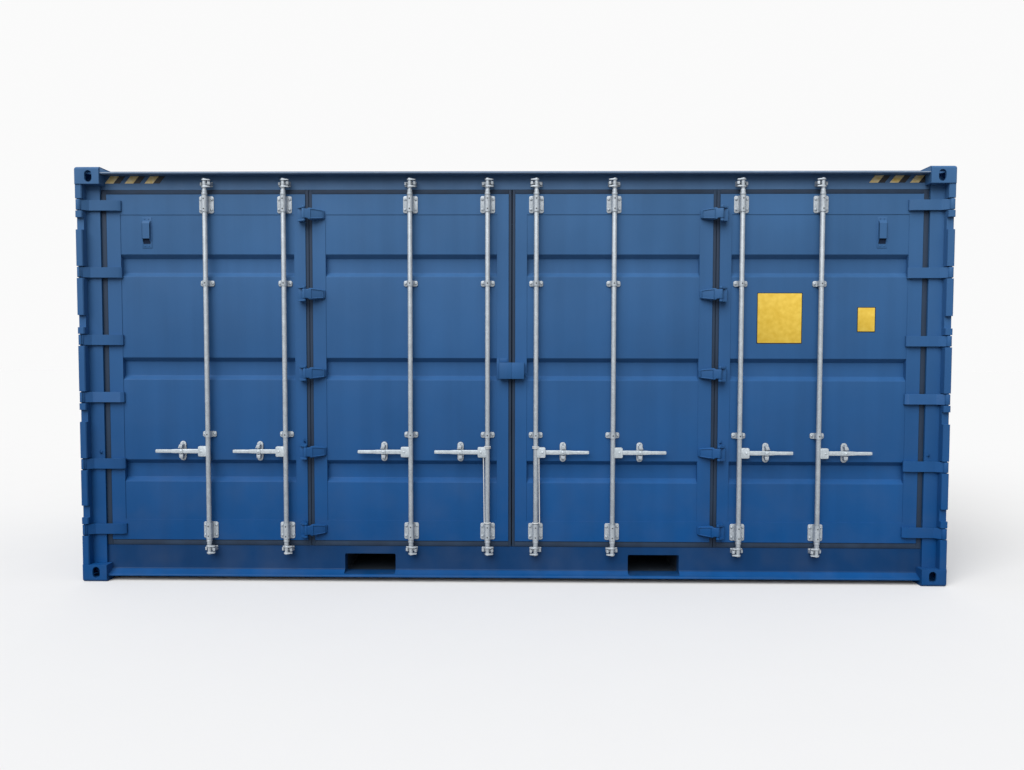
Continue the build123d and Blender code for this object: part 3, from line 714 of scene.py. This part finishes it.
def addBracket(bm, x, low, high, width, p):
    # foot plate with round corners, and a hat with a round crown over the bar
    crown, foot, face = p["crown"], p["hatFoot"], doorFace - p["plate"]
    corner = min(p["corner"], (high - low) / 3)
    addPlate(bm, (x - width / 2, low), (x + width / 2, high), doorFace, face, corner)
    inner = crown - p["sheet"]
    outline = [(x - crown - foot, face), (x - crown, face - foot)]
    outline += arc((x, barLine), crown, math.pi, math.pi, 14)
    outline += [(x + crown, face - foot), (x + crown + foot, face), (x + inner, face)]
    outline += arc((x, barLine), inner, math.tau, -math.pi, 14)
    outline.append((x - inner, face))
    tall = high - low > p["twoBoltsFrom"]
    trim = p["tallTrim"] if tall else p["slimTrim"]
    addPrism(bm, [(a, b, low + trim) for a, b in outline], (0, 0, high - low - 2 * trim))
    washer, thick = p["washer"]
    inset = p["boltFromEnd"]
    for z in (low + inset, high - inset) if tall else ((low + high) / 2,):
        for side in bothSides:
            bolt = x + side * ((width / 2 + crown) / 2 + p["boltAside"])
            addRod(bm, (bolt, face + p["sink"], z), (bolt, face - thick, z), washer, 18)
            addDome(bm, (bolt, face - thick, z), toFront, *p["boltHead"])
        before = len(bm.faces)
        addDome(bm, (x, barLine - crown + p["rivetSink"], z), toFront, *p["rivet"], 12, 2)
        paintNew(bm, before, 2)


def addCatch(bm, x, s, p):
    z = handleLevel
    face = doorFace - p["plate"]
    outline = stadium((x, z), p["catchWidth"], p["catchHeight"])
    addPrism(bm, [(a, doorFace, b) for a, b in outline], (0, -p["plate"], 0), softRound)
    reach = frontPlane + p["jawFront"] - face
    half = p["jawWidth"] / 2
    tip = half * p["jawTaper"]
    for up, lean in ((1, s * p["jawLean"]), (-1, 0.0)):
        near = z + up * p["jawClear"]
        far = near + up * p["jawHeight"]
        ring = [(x - half + lean, near), (x + half + lean, near), (x + tip, far), (x - tip, far)]
        addPrism(bm, [(a, face, b) for a, b in ring], (0, reach, 0), p["jawRound"])
        addDome(bm, (x, face, z + up * p["rivetFromHandle"]), toFront, *p["catchRivet"])


# lock box, half on each inner leaf

lockBox = {
    "near": 0.0004, "far": 0.086, "below": 0.065, "above": 0.048, "recess": 0.019, "wall": 0.005,
    "faceRound": 0.0005, "plate": 0.006, "rim": 0.020, "rimNear": 0.030, "rimDrop": 0.004,
    "rise": 0.028, "lugHeight": 0.05, "ringPlace": (0.014, 0.012, 0.030),
    "ringReach": (0.010, 0.003, 0.011), "ringWire": 0.0024,
}


def addLockBoxHalf(bm, s, p):
    before = len(bm.faces)
    near, far, wall = p["near"], p["far"], p["wall"]
    front = frontPlane + p["recess"]
    back = doorFace - p["plate"]
    low, high = leafMiddle - p["below"], leafMiddle + p["above"]
    sideBox(bm, s, near, far, front, front + wall, low, high, p["faceRound"])
    sideBox(bm, s, near, far, front + wall, doorFace, high - wall, high, plainRound)
    sideBox(bm, s, far - wall, far, front + wall, doorFace, low, high - wall, plainRound)
    if s < 0:
        rim, top = far + p["rim"], high + p["rise"]
        sideBox(bm, s, far, rim, back, doorFace, low - p["rimDrop"], top, softRound)
        sideBox(bm, s, p["rimNear"], far, back, doorFace, high, top, softRound)
    else:
        sideBox(bm, s, far, far + p["rim"] / 2, back, doorFace, low, low + p["lugHeight"], softRound)
        aside, forward, up = p["ringPlace"]
        x, y, z = far + aside, doorFace - forward, low + up
        a, b, c = p["ringReach"]
        turns = arc((0, 0), 1, 0.0, math.tau, 20)
        addTube(bm, [(x + a * u, y + b * u, z + c * v) for u, v in turns], p["ringWire"])
    paintNew(bm, before, 1)


def makeFittings(p):
    width, height, margin = p["large"]
    top, foot = leafTop - margin, leafBottom + margin
    spans = [(top - height, top, width), (foot, foot + height, width)]
    width, height = p["small"]
    for share in p["smallShares"]:
        middle = leafMiddle + share * leafHeight
        spans.append((middle - height / 2, middle + height / 2, width))
    for s, name, leaf in leaves:
        bm = bmesh.new()
        for place in barPlaces[:2] if leaf == "outer" else barPlaces[2:]:
            for low, high, wide in spans:
                addBracket(bm, s * place, low, high, wide, p)
            addCatch(bm, s * (place + lockBar["catchFromBar"]), s, p)
        if leaf == "inner":
            addLockBoxHalf(bm, s, lockBox)
        mats = [zinc, sheetPaint, darkSteel]
        title = f"{name}{leaf.capitalize()}Fittings"
        piece = finishPiece(title, bm, mats, f"{name}_{leaf}_leaf")
        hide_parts(f"{name}_{leaf}_lock_fittings")


makeFittings(fittings)
print("brackets, catches and lock box made")

# pressed door panels, a little behind the frame so that the seam shows

panelLook = {
    "inset": 0.003, "spacing": 0.297, "height": 0.156, "floor": 0.098, "depth": 0.036,
    "radius": 0.006, "sheet": 0.0025,
}
ventLook = {
    "wide": 0.071, "tall": 0.216, "below": 0.016, "fromEnd": 0.434, "plate": 0.003,
    "corner": 0.006, "hoodWide": 0.054, "hoodTop": 0.024, "hoodFoot": 0.066,
    "slope": (0.008, 0.004),  # how far the hood's upper corner lies behind its front and below its top
    "shoulder": 0.02, "bend": 0.006, "mouth": 0.036, "depth": 0.016, "sheet": 0.002, "lap": 0.001,
    "rivet": (0.0055, 0.003), "rivetAside": 0.014, "rivetBelow": 0.012, "rivetAbove": 0.014,
    "gauze": 0.0006, "gauzeBelow": 0.01, "gauzeCorner": 0.002, "gauzeRound": 0.0002,
}


def addVent(bm, s, panelTop, p):
    # backing plate with rivets, and a hood open at its foot
    x = s * (endPlane - p["fromEnd"] - p["wide"] / 2)
    back = doorFace + panelLook["inset"]
    face = back - p["plate"]
    high = panelTop - p["below"]
    low = high - p["tall"]
    addPlate(bm, (x - p["wide"] / 2, low), (x + p["wide"] / 2, high), back, face, p["corner"])
    half = p["hoodWide"] / 2
    top, foot = high - p["hoodTop"], low + p["hoodFoot"]
    mouth = foot - p["mouth"]
    front = doorFace - p["depth"]
    behind, drop = p["slope"]
    hood = [(back, top), (front + behind, top - drop), (front, top - p["shoulder"]), (front, foot)]
    for side in bothSides:
        cheek = [(x + side * half, a, b) for a, b in hood + [(back, mouth)]]
        addPrism(bm, cheek, (-side * p["sheet"], 0, 0))
    lid = roundedPath(hood, p["bend"])
    under = [(a + p["sheet"], b - p["lap"]) for a, b in reversed(lid)]
    addPrism(bm, [(x - half, a, b) for a, b in lid + under], (2 * half, 0, 0))
    for z in (high - p["rivetBelow"], low + p["rivetAbove"]):
        for side in bothSides:
            addDome(bm, (x + side * p["rivetAside"], face, z), toFront, *p["rivet"])
    # the near-black plate in the hood's mouth is partly gauze, partly painted shade of the dark hole behind
    # it
    before = len(bm.faces)
    inside = half - p["sheet"]
    foot, top = (x - inside, mouth), (x + inside, top - p["gauzeBelow"])
    addPlate(bm, foot, top, face, face - p["gauze"], p["gauzeCorner"], p["gauzeRound"])
    paintNew(bm, before, 1)


def makePanels(p):
    slope = (p["height"] - p["floor"]) / 2
    face, bottom = doorFace + p["inset"], doorFace + p["depth"]
    for s, name, leaf in leaves:
        node = f"{name}_{leaf}_leaf_panel"
        low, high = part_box(node)
        line = [(face, low.z)]
        for i in (-1, 0, 1):
            level = leafMiddle + i * p["spacing"] * leafHeight
            foot, top = level - p["height"] / 2, level + p["height"] / 2
            line += [(face, foot), (bottom, foot + slope), (bottom, top - slope), (face, top)]
        line.append((face, high.z))
        outline = roundedPath(line, p["radius"])
        back = [(a + p["sheet"], b) for a, b in reversed(outline)]
        bm = bmesh.new()
        addPrism(bm, [(low.x, a, b) for a, b in outline + back], (high.x - low.x, 0, 0))
        if leaf == "outer":
            addVent(bm, s, high.z, ventLook)
        mats = [sheetPaint, ventGauze]
        title = f"{name}{leaf.capitalize()}Panel"
        piece = finishPiece(title, bm, mats, f"{name}_{leaf}_leaf", 40)
        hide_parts(node)


makePanels(panelLook)
print("panels made")

# hinges, cranked straps on the post pins and blades in fold blocks between the leaves

hinges = {
    "strapShares": (0.0826, 0.2761, 0.4671), "strapHalf": 0.036, "strapRound": 0.003,
    "eye": 0.019, "shoulder": 0.018, "crankFront": 0.058, "crankBack": 0.052, "strapFront": 0.048,
    "strapBack": 0.060, "tipSlope": 0.022, "tipThick": 0.012, "stile": 0.097, "overlap": 0.010,
    "foldShare": -0.0119, "foldSpacing": 0.2268, "blockHalf": 0.052, "blockWidth": 0.036,
    "blockDepth": 0.042, "blockRound": 0.006, "lug": 0.014, "foldEye": 0.012, "pin": 0.007,
    "pinHead": (0.009, 0.004), "bladeHalf": 0.033, "bladeLength": 0.133,
    "bladeRound": (0.010, 0.45),  # the most, and the share of a thin part
    "bladeBack": 0.011, "edgeClear": 0.006, "tipDepth": 0.017, "tipStep": 0.006,
    "bladeStations": ((0.0, 0.0, 1.0), (0.20, 0.06, 1.0), (0.27, 0.12, 1.24), (0.42, 1.0, 1.20),
                      (0.7, 1.0, 1.08), (0.94, 1.0, 0.93), (1.0, 1.0, 0.78)),  # place, seat and height
    "rimStations": ((0.34, 0.98), (0.6, 0.90), (0.92, 0.74)), "rimRadius": 0.0036,
    "rimRise": 0.0005,
}


def addStrap(bm, s, z, p):
    pin, y = postPin.x, postPin.y
    edge = -frameLow.x - p["overlap"]
    tip = edge - p["stile"]
    front, back = frontPlane + p["strapFront"], frontPlane + p["strapBack"]
    plan = [(pin, y - p["shoulder"]), (pin - p["crankFront"], front), (tip + p["tipSlope"], front),
            (tip, doorFace - p["tipThick"]), (tip, doorFace), (edge, doorFace), (edge, back),
            (pin - p["crankBack"], back), (pin, y + p["shoulder"])]
    half = p["strapHalf"]
    before = len(bm.verts)
    addPrism(bm, [(s * a, b, z - half) for a, b in plan], (0, 0, 2 * half))
    bm.verts.ensure_lookup_table()
    edges = {e for v in bm.verts[before:] for e in v.link_edges}
    inEye = pin - fineRound
    soften(bm, [e for e in edges if any(abs(v.co.x) < inEye for v in e.verts)], p["strapRound"])
    addUpright(bm, s * pin, y, z - half, z + half, p["eye"], 28, softRound)


def addFoldBlock(bm, s, z, p):
    eye, half = p["foldEye"], p["blockHalf"]
    x, y = foldPin.x, foldPin.y
    near = x + eye
    far = near + p["blockWidth"]
    face = doorFace - p["blockDepth"]
    sideBox(bm, s, near, far, face, doorFace, z - half, z + half, p["blockRound"])
    for low in (z - half, z + half - p["lug"]):
        lug = [(far, face), (x, y - eye), (x, y + eye), (near, face + eye)]
        addPrism(bm, [(s * a, b, low) for a, b in lug], (0, 0, p["lug"]))
        addUpright(bm, s * x, y, low, low + p["lug"], eye, 20, plainRound)
    for up in bothSides:
        addDome(bm, (s * x, y, z + up * half), (0, 0, up), *p["pinHead"])
    addUpright(bm, s * x, y, z - half, z + half, p["pin"], 16)


def addBlade(bm, s, z, p):
    # tapered blade from the pin onto the leaf, with a raised rim
    leafEdge = -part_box("left_inner_leaf_frame")[0].x - p["edgeClear"]
    root, length, half = foldPin.x, p["bladeLength"], p["bladeHalf"]
    face = foldPin.y - p["foldEye"]
    slope = doorFace - p["tipDepth"] - face
    rootBack = foldPin.y + p["bladeBack"]
    most, thinShare = p["bladeRound"]
    rings = []
    for t, seat, share in p["bladeStations"]:
        x = root - length * t
        front = face + slope * t + (p["tipStep"] if t == 1.0 else 0.0)
        back = rootBack + (doorFace - rootBack) * (1.0 if x < leafEdge else seat)
        rounding = min(most, (back - front) * thinShare)
        ring = roundedBox((front, -half * share), (back, half * share), rounding, 4)
        rings.append([(s * x, a, z + b) for a, b in ring])
    addLoft(bm, rings)
    upper = list(p["rimStations"])
    lower = [(t, -share) for t, share in reversed(upper)]
    rim = []
    for t, share in upper + lower + upper[:1]:
        rim.append((s * (root - length * t), face + slope * t - p["rimRise"], z + share * half))
    addTube(bm, rim, p["rimRadius"])
    addUpright(bm, s * root, foldPin.y, z - half, z + half, p["foldEye"], 22, plainRound)


def makeHinges(p):
    straps = [leafMiddle + side * share * leafHeight for share in p["strapShares"] for side in bothSides]
    folds = [leafMiddle + (p["foldShare"] + i * p["foldSpacing"]) * leafHeight for i in (-2, -1, 0, 1, 2)]
    for s, name in halves:
        bm = bmesh.new()
        for z in straps:
            addStrap(bm, s, z, p)
        for z in folds:
            addFoldBlock(bm, s, z, p)
        piece = finishPiece(f"{name}OuterHinges", bm, [bluePaint], f"{name}_outer_leaf")
        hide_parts(f"{name}_outer_leaf_hinges")
        bm = bmesh.new()
        for z in folds:
            addBlade(bm, s, z, p)
        piece = finishPiece(f"{name}InnerHinges", bm, [bluePaint], f"{name}_inner_leaf")
        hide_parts(f"{name}_inner_leaf_hinges")


makeHinges(hinges)
print("hinges made")

# gaskets, a flat band with a soft edge and a shallow lip along its middle

gasketLook = {"lip": 0.0015, "lipShare": 0.8, "rounding": 0.001, "reach": 0.0045, "centreReach": 0.003}


def makeGaskets(p):
    reach, lip = p["reach"], p["lip"]
    for s, name, leaf in leaves:
        node = f"{name}_{leaf}_leaf_gasket"
        low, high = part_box(node)
        inLow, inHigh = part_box(f"{name}_{leaf}_leaf_frame")
        face = low.y + lip
        inward = p["centreReach"] if leaf == "inner" else reach
        left = low.x - (reach if s < 0 else inward)
        right = high.x + (inward if s < 0 else reach)
        foot, top = low.z - reach, high.z + reach
        bands = [(left, inLow.x, foot, top), (inHigh.x, right, foot, top),
                 (inLow.x, inHigh.x, foot, inLow.z), (inLow.x, inHigh.x, inHigh.z, top)]
        bm = bmesh.new()
        for x0, x1, z0, z1 in bands:
            addBlock(bm, (x0, face, z0), (x1, high.y, z1), p["rounding"])
            side = min(x1 - x0, z1 - z0) * (1 - p["lipShare"]) / 2
            start, stop = (x0 + side, low.y, z0 + side), (x1 - side, face + 2 * lip, z1 - side)
            addBlock(bm, start, stop, p["rounding"])
        title = f"{name}{leaf.capitalize()}Gasket"
        piece = finishPiece(title, bm, [rubber], f"{name}_{leaf}_leaf")
        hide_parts(node)


makeGaskets(gasketLook)
print("gaskets made")

# corner castings, hollow, with rounded edges and oblong holes

castingLook = {
    "length": 0.178, "width": 0.162, "height": 0.118, "wall": 0.016, "plate": 0.028,
    "rounding": 0.018, "roomRound": 0.004, "topHole": (0.0635, 0.124), "sideHole": (0.051, 0.079),
    "fromEnd": 0.1025, "fromSide": 0.0895, "fromFace": 0.065,
}
cutOver = 0.01  # how far a cutter stands out of what it cuts


def castingMesh(p):
    # one block with its outer corner at the origin, reaching back along the positive axes
    size, wall = Vector((p["length"], p["width"], p["height"])), p["wall"]
    bm = bmesh.new()
    addBlock(bm, (0, 0, 0), size)
    outside = [e for e in bm.edges if sum(all(v.co[i] < wall for v in e.verts) for i in range(3)) == 2]
    soften(bm, outside, p["rounding"], 5)
    whole = newObject("castingBlank", bm)
    bm = bmesh.new()
    addBlock(bm, (wall, wall, p["plate"]), size - Vector((wall, wall, wall)), p["roomRound"])
    cutters = [newObject("castingRoom", bm)]
    topRing = stadium((p["fromSide"], p["fromEnd"]), *p["topHole"], 12)
    sideRing = stadium((p["fromEnd"], p["fromFace"]), *p["sideHole"], 12)
    endRing = stadium((p["fromSide"], p["fromFace"]), *p["sideHole"], 12)
    deep = 2 * wall
    holes = (([(b, a, -cutOver) for a, b in topRing], (0, 0, p["plate"] + deep)),
             ([(a, -cutOver, b) for a, b in sideRing], (0, deep, 0)),
             ([(-cutOver, a, b) for a, b in endRing], (deep, 0, 0)))
    cutters += [prismObject("castingHole", ring, away) for ring, away in holes]
    return cutMesh(whole, cutters)


def makeCastings(p):
    mesh = castingMesh(p)
    low, high = cadBox
    for kind, z, up in (("top", high[2], -1), ("bottom", low[2], 1)):
        bm = bmesh.new()
        for x, alongX in ((low[0], 1), (high[0], -1)):
            for y, alongY in ((low[1], 1), (high[1], -1)):
                before = len(bm.verts)
                bm.from_mesh(mesh)
                bm.verts.ensure_lookup_table()
                for v in bm.verts[before:]:
                    v.co = Vector((x + alongX * v.co.x, y + alongY * v.co.y, z + up * v.co.z))
        piece = finishPiece(f"{kind}Castings", bm, [bluePaint], "frame", 40)
        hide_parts(f"{kind}_corner_castings")
    bpy.data.meshes.remove(mesh)


makeCastings(castingLook)
print("castings made")

# sill, whose foot turns out to a lip, with the two fork openings

sillLook = {
    "slopeTop": 0.077, "slopeFoot": 0.047, "foot": 0.036, "lipRecess": 0.024, "bend": 0.010,
    "opening": (0.360, 0.135), "openingFoot": 0.054, "openingCorner": 0.009, "pocketWall": 0.006,
    "paintEdge": 0.073,  # the foot is painted as the frame is, up to this height
}


def makeSill(p):
    low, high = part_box("front_bottom_rail")
    lip = frontPlane + p["lipRecess"]
    face = [(railFace, high.z), (railFace, p["slopeTop"]), (lip, p["slopeFoot"]), (lip, p["foot"])]
    outline = roundedPath(face, p["bend"]) + [(high.y, p["foot"]), (high.y, high.z)]
    whole = prismObject("sillBlank", [(low.x, a, b) for a, b in outline], (high.x - low.x, 0, 0))
    through = 2 * castingLook["width"]
    start = frontPlane - cutOver
    wide, tall = p["opening"]
    foot = p["openingFoot"]
    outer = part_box("fork_pockets")[1].x - p["pocketWall"]
    castingEnd = endPlane - castingLook["length"]
    cutters = []
    for s in bothSides:
        left, right = sorted((s * outer, s * (outer - wide)))
        outline = roundedBox((left, foot), (right, foot + tall), p["openingCorner"])
        cutters.append(prismObject("sillOpening", [(a, start, b) for a, b in outline], (0, through, 0)))
        bm = bmesh.new()
        top = castingLook["height"]
        sideBox(bm, s, castingEnd, endPlane, start, frontPlane + through, -cutOver, top)
        cutters.append(newObject("sillEnd", bm))
    mesh = cutMesh(whole, cutters)
    bm = bmesh.new()
    bm.from_mesh(mesh)
    bpy.data.meshes.remove(mesh)
    # the web keeps the darker sill paint, which is painted shade; the foot and lip take the frame's paint
    for f in bm.faces:
        middle = f.calc_center_median()
        onFoot = middle.z < p["paintEdge"] and middle.y < railFace and abs(f.normal.x) < 0.5
        f.material_index = 1 if onFoot else 0
    piece = finishPiece("sill", bm, [sillPaint, bluePaint], "frame", 40)
    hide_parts("front_bottom_rail")


makeSill(sillLook)
print("sill made")

# closing plates over the rear bottom castings, between post and rails

closingPlates = {"lap": 0.005, "sheet": 0.006, "inset": 0.0006}


def makeClosingPlates(p):
    lap, sheet = p["lap"], p["sheet"]
    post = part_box("right_rear_post")[0]
    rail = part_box("rear_bottom_rail")[1]
    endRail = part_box("end_bottom_rails")[1]
    foot = castingLook["height"] - lap
    back, side = rail.y - p["inset"], endRail.x - p["inset"]
    bm = bmesh.new()
    for s in bothSides:
        sideBox(bm, s, rail.x - lap, post.x + lap, back - sheet, back, foot, rail.z + lap, fineRound)
        sideBox(bm, s, side - sheet, side, endRail.y - lap, post.y + lap, foot, endRail.z, fineRound)
    finishPiece("rearClosingPlates", bm, [bluePaint], "frame")


makeClosingPlates(closingPlates)
print("closing plates made")

# rolled lip along the front top rail, painted pale: a painted highlight of the sky on its round edge

lipLook = {
    "radius": 0.006, "fromFront": 0.009, "drop": 0.034, "skin": 0.0004,
    "under": (0.0015, 0.004, 0.001),  # how far the lower roll lies back, lies down and is thinner
}


def makeLip(p):
    reach = endPlane - castingLook["length"]
    radius = p["radius"]
    y = frontPlane + p["fromFront"] + radius
    z = cadBox[1][2] - p["drop"] - radius
    back, down, thinner = p["under"]
    bm = bmesh.new()
    addRod(bm, (-reach, y, z), (reach, y, z), radius + p["skin"], 20)
    addRod(bm, (-reach, y + back, z - down), (reach, y + back, z - down), radius - thinner, 16)
    finishPiece("headerLip", bm, [bleachedPaint], "frame")


makeLip(lipLook)

# small hooks on the posts and outer leaves

hookLook = {
    "post": (2.908, 0.918), "postRecess": 0.067, "leaf": (1.463, 1.003), "wire": 0.004,
    "path": ((0.002, -0.012), (-0.008, -0.014), (-0.018, -0.010), (-0.022, 0.0), (-0.020, 0.010)),
    "foot": (0.010, 0.001, 0.003),  # radius, and its reach behind and before the face
    "footDrop": 0.012,
}


def makeHooks(p):
    radius, behind, before = p["foot"]
    postFace = frontPlane + p["postRecess"]
    for s, name in halves:
        spots = (("Post", "frame", p["post"], postFace),
                 ("Leaf", f"{name}_outer_leaf", p["leaf"], doorFace))
        for kind, body, (place, z), face in spots:
            x = s * place
            bm = bmesh.new()
            addTube(bm, [(x, face + a, z + b) for a, b in p["path"]], p["wire"], 10)
            foot = z - p["footDrop"]
            addRod(bm, (x, face + behind, foot), (x, face - before, foot), radius, 16, fineRound)
            finishPiece(f"{name}{kind}Hook", bm, [bluePaint], body)


makeHooks(hookLook)

# tie-back cords beside the middle bars

tieLook = {
    "wide": 0.028, "close": 0.0215, "radius": 0.004, "top": 0.030, "foot": 0.135,
    "turnRise": 0.009, "footRise": 0.004, "forward": 0.004,
}


def makeTies(p):
    radius = p["radius"]
    ring = lockBar["radius"] + radius
    high, low = handleLevel + p["top"], leafBottom + p["foot"]
    steps = 14
    for s, name in halves:
        x = s * barPlaces[3]
        bm = bmesh.new()
        for level in (high, high + p["turnRise"], low + p["footRise"]):
            turns = arc((x, barLine), ring, 0.0, math.tau, 18)
            addTube(bm, [(a, b, level) for a, b in turns], radius)
        line = []
        for i in range(steps + 1):
            t = i / steps
            share = t if s < 0 else 1 - t
            aside = p["wide"] + (p["close"] - p["wide"]) * share
            line.append((x + s * aside, barLine - p["forward"], high + (low - high) * t))
        addTube(bm, line, radius)
        finishPiece(f"{name}TieBack", bm, [ropeFibre], f"{name}_bar_4")


makeTies(tieLook)
print("lip, hooks and ties made")

# hazard stripes on the top rail, three leaning yellow bars each side with a dark bar beside each

stripes = {
    "near": 2.467, "far": 2.854, "low": 2.797, "high": 2.8475, "count": 3, "pitch": 0.140,
    "yellow": 0.060, "dark": 0.046, "lean": 0.041, "thick": 0.0008, "sink": 0.0004,
}


def makeStripes(p):
    back, away = railFace + p["sink"], (0, -p["sink"] - p["thick"], 0)
    for s, name in halves:
        left = -p["far"] if s < 0 else p["near"]
        bm = bmesh.new()
        for i in range(p["count"]):
            x = left + i * p["pitch"]
            for start, wide, index in ((x, p["yellow"], 1), (x + p["yellow"], p["dark"], 0)):
                before = len(bm.faces)
                foot = [(start, back, p["low"]), (start + wide, back, p["low"])]
                top = [(a + p["lean"], back, p["high"]) for a, _, _ in reversed(foot)]
                addPrism(bm, foot + top, away)
                paintNew(bm, before, index)
        finishPiece(f"{name}Stripes", bm, [blackInk, dullYellow], "frame")


makeStripes(stripes)

# bare yellow plates on the right outer leaf, with a thin dark border

doorPlates = {
    "spans": ((1.706, 2.020, 1.685, 2.039), (2.400, 2.527, 1.766, 1.940)), "border": 0.005,
    "back": (0.0005, -0.0012, 0.004, 0.0004),  # rear and front of the plate, corner and edge
    "sheet": (-0.001, -0.0018, 0.003, 0.0002),
}


def makePlates(p):
    bm = bmesh.new()
    face = doorFace + panelLook["inset"]
    border = p["border"]
    for x0, x1, z0, z1 in p["spans"]:
        rear, front, corner, edge = p["back"]
        addPlate(bm, (x0, z0), (x1, z1), face + rear, face + front, corner, edge)
        before = len(bm.faces)
        rear, front, corner, edge = p["sheet"]
        low, high = (x0 + border, z0 + border), (x1 - border, z1 - border)
        addPlate(bm, low, high, face + rear, face + front, corner, edge)
        paintNew(bm, before, 1)
    finishPiece("doorPlates", bm, [blackInk, yellowSheet], "right_outer_leaf")


makePlates(doorPlates)
print("stripes and plates made")

# floor and lights

stageLook = {"floor": 0.79, "bounce": 0.12, "reach": 60.0, "fill": 0.55, "background": 0.96}
sunLook = {"elevation": 45, "fromLeft": 22, "strength": 2.95, "spread": 55, "distance": 10}


def seenDirectly(tree):
    # one where the camera, a reflection or glass looks at the surface
    rays = tree.nodes.new("ShaderNodeLightPath")
    links = {0: rays.outputs["Is Camera Ray"], 1: rays.outputs["Is Glossy Ray"]}
    seen = addNode(tree, "Math", links, operation="MAXIMUM")
    links = {0: seen.outputs[0], 1: rays.outputs["Is Transmission Ray"]}
    return addNode(tree, "Math", links, operation="MAXIMUM").outputs[0]


def makeFloorCoat(name, p):
    # pale to look at, and grey in the light it throws back, as open ground is
    mat, tree, shader = startMaterial(name)
    cloud = remap(tree, noise(tree, 3.0, 4.0), *noiseSpan, 0.995, 1.0)
    pale = mixColour(tree, 1.0, (p["floor"],) * 3, cloud, "MULTIPLY")
    colour = mixColour(tree, seenDirectly(tree), (p["bounce"],) * 3, pale)
    tree.links.new(colour, shader.inputs["Base Color"])
    shader.inputs["Roughness"].default_value = 0.9
    shader.inputs["Specular IOR Level"].default_value = 0.0
    return mat


def makeStage(p):
    bm = bmesh.new()
    reach = p["reach"]
    for corner in ((-reach, -reach), (reach, -reach), (reach, reach), (-reach, reach)):
        bm.verts.new((*corner, 0))
    bm.faces.new(bm.verts)
    ground = newObject("floor", bm)
    ground.data.materials.append(makeFloorCoat("floorCoat", p))
    world = bpy.context.scene.world or bpy.data.worlds.new("world")
    bpy.context.scene.world = world
    world.use_nodes = True
    tree = world.node_tree
    back = tree.nodes["Background"]
    back.inputs["Color"].default_value = (1.0, 1.0, 1.0, 1)
    level = remap(tree, seenDirectly(tree), 0.0, 1.0, p["fill"], p["background"])
    tree.links.new(level, back.inputs["Strength"])


def makeSun(p):
    lamp = bpy.data.lights.new("keySun", "SUN")
    lamp.energy = p["strength"]
    lamp.angle = math.radians(p["spread"])
    obj = bpy.data.objects.new("keySun", lamp)
    up, left = math.radians(p["elevation"]), math.radians(p["fromLeft"])
    toLamp = Vector((-math.sin(left) * math.cos(up), -math.cos(left) * math.cos(up), math.sin(up)))
    obj.rotation_mode = "QUATERNION"
    obj.rotation_quaternion = (-toLamp).to_track_quat("-Z", "Y")
    obj.location = toLamp * p["distance"]
    bpy.context.scene.collection.objects.link(obj)


makeStage(stageLook)
makeSun(sunLook)
print("stage and lights made")
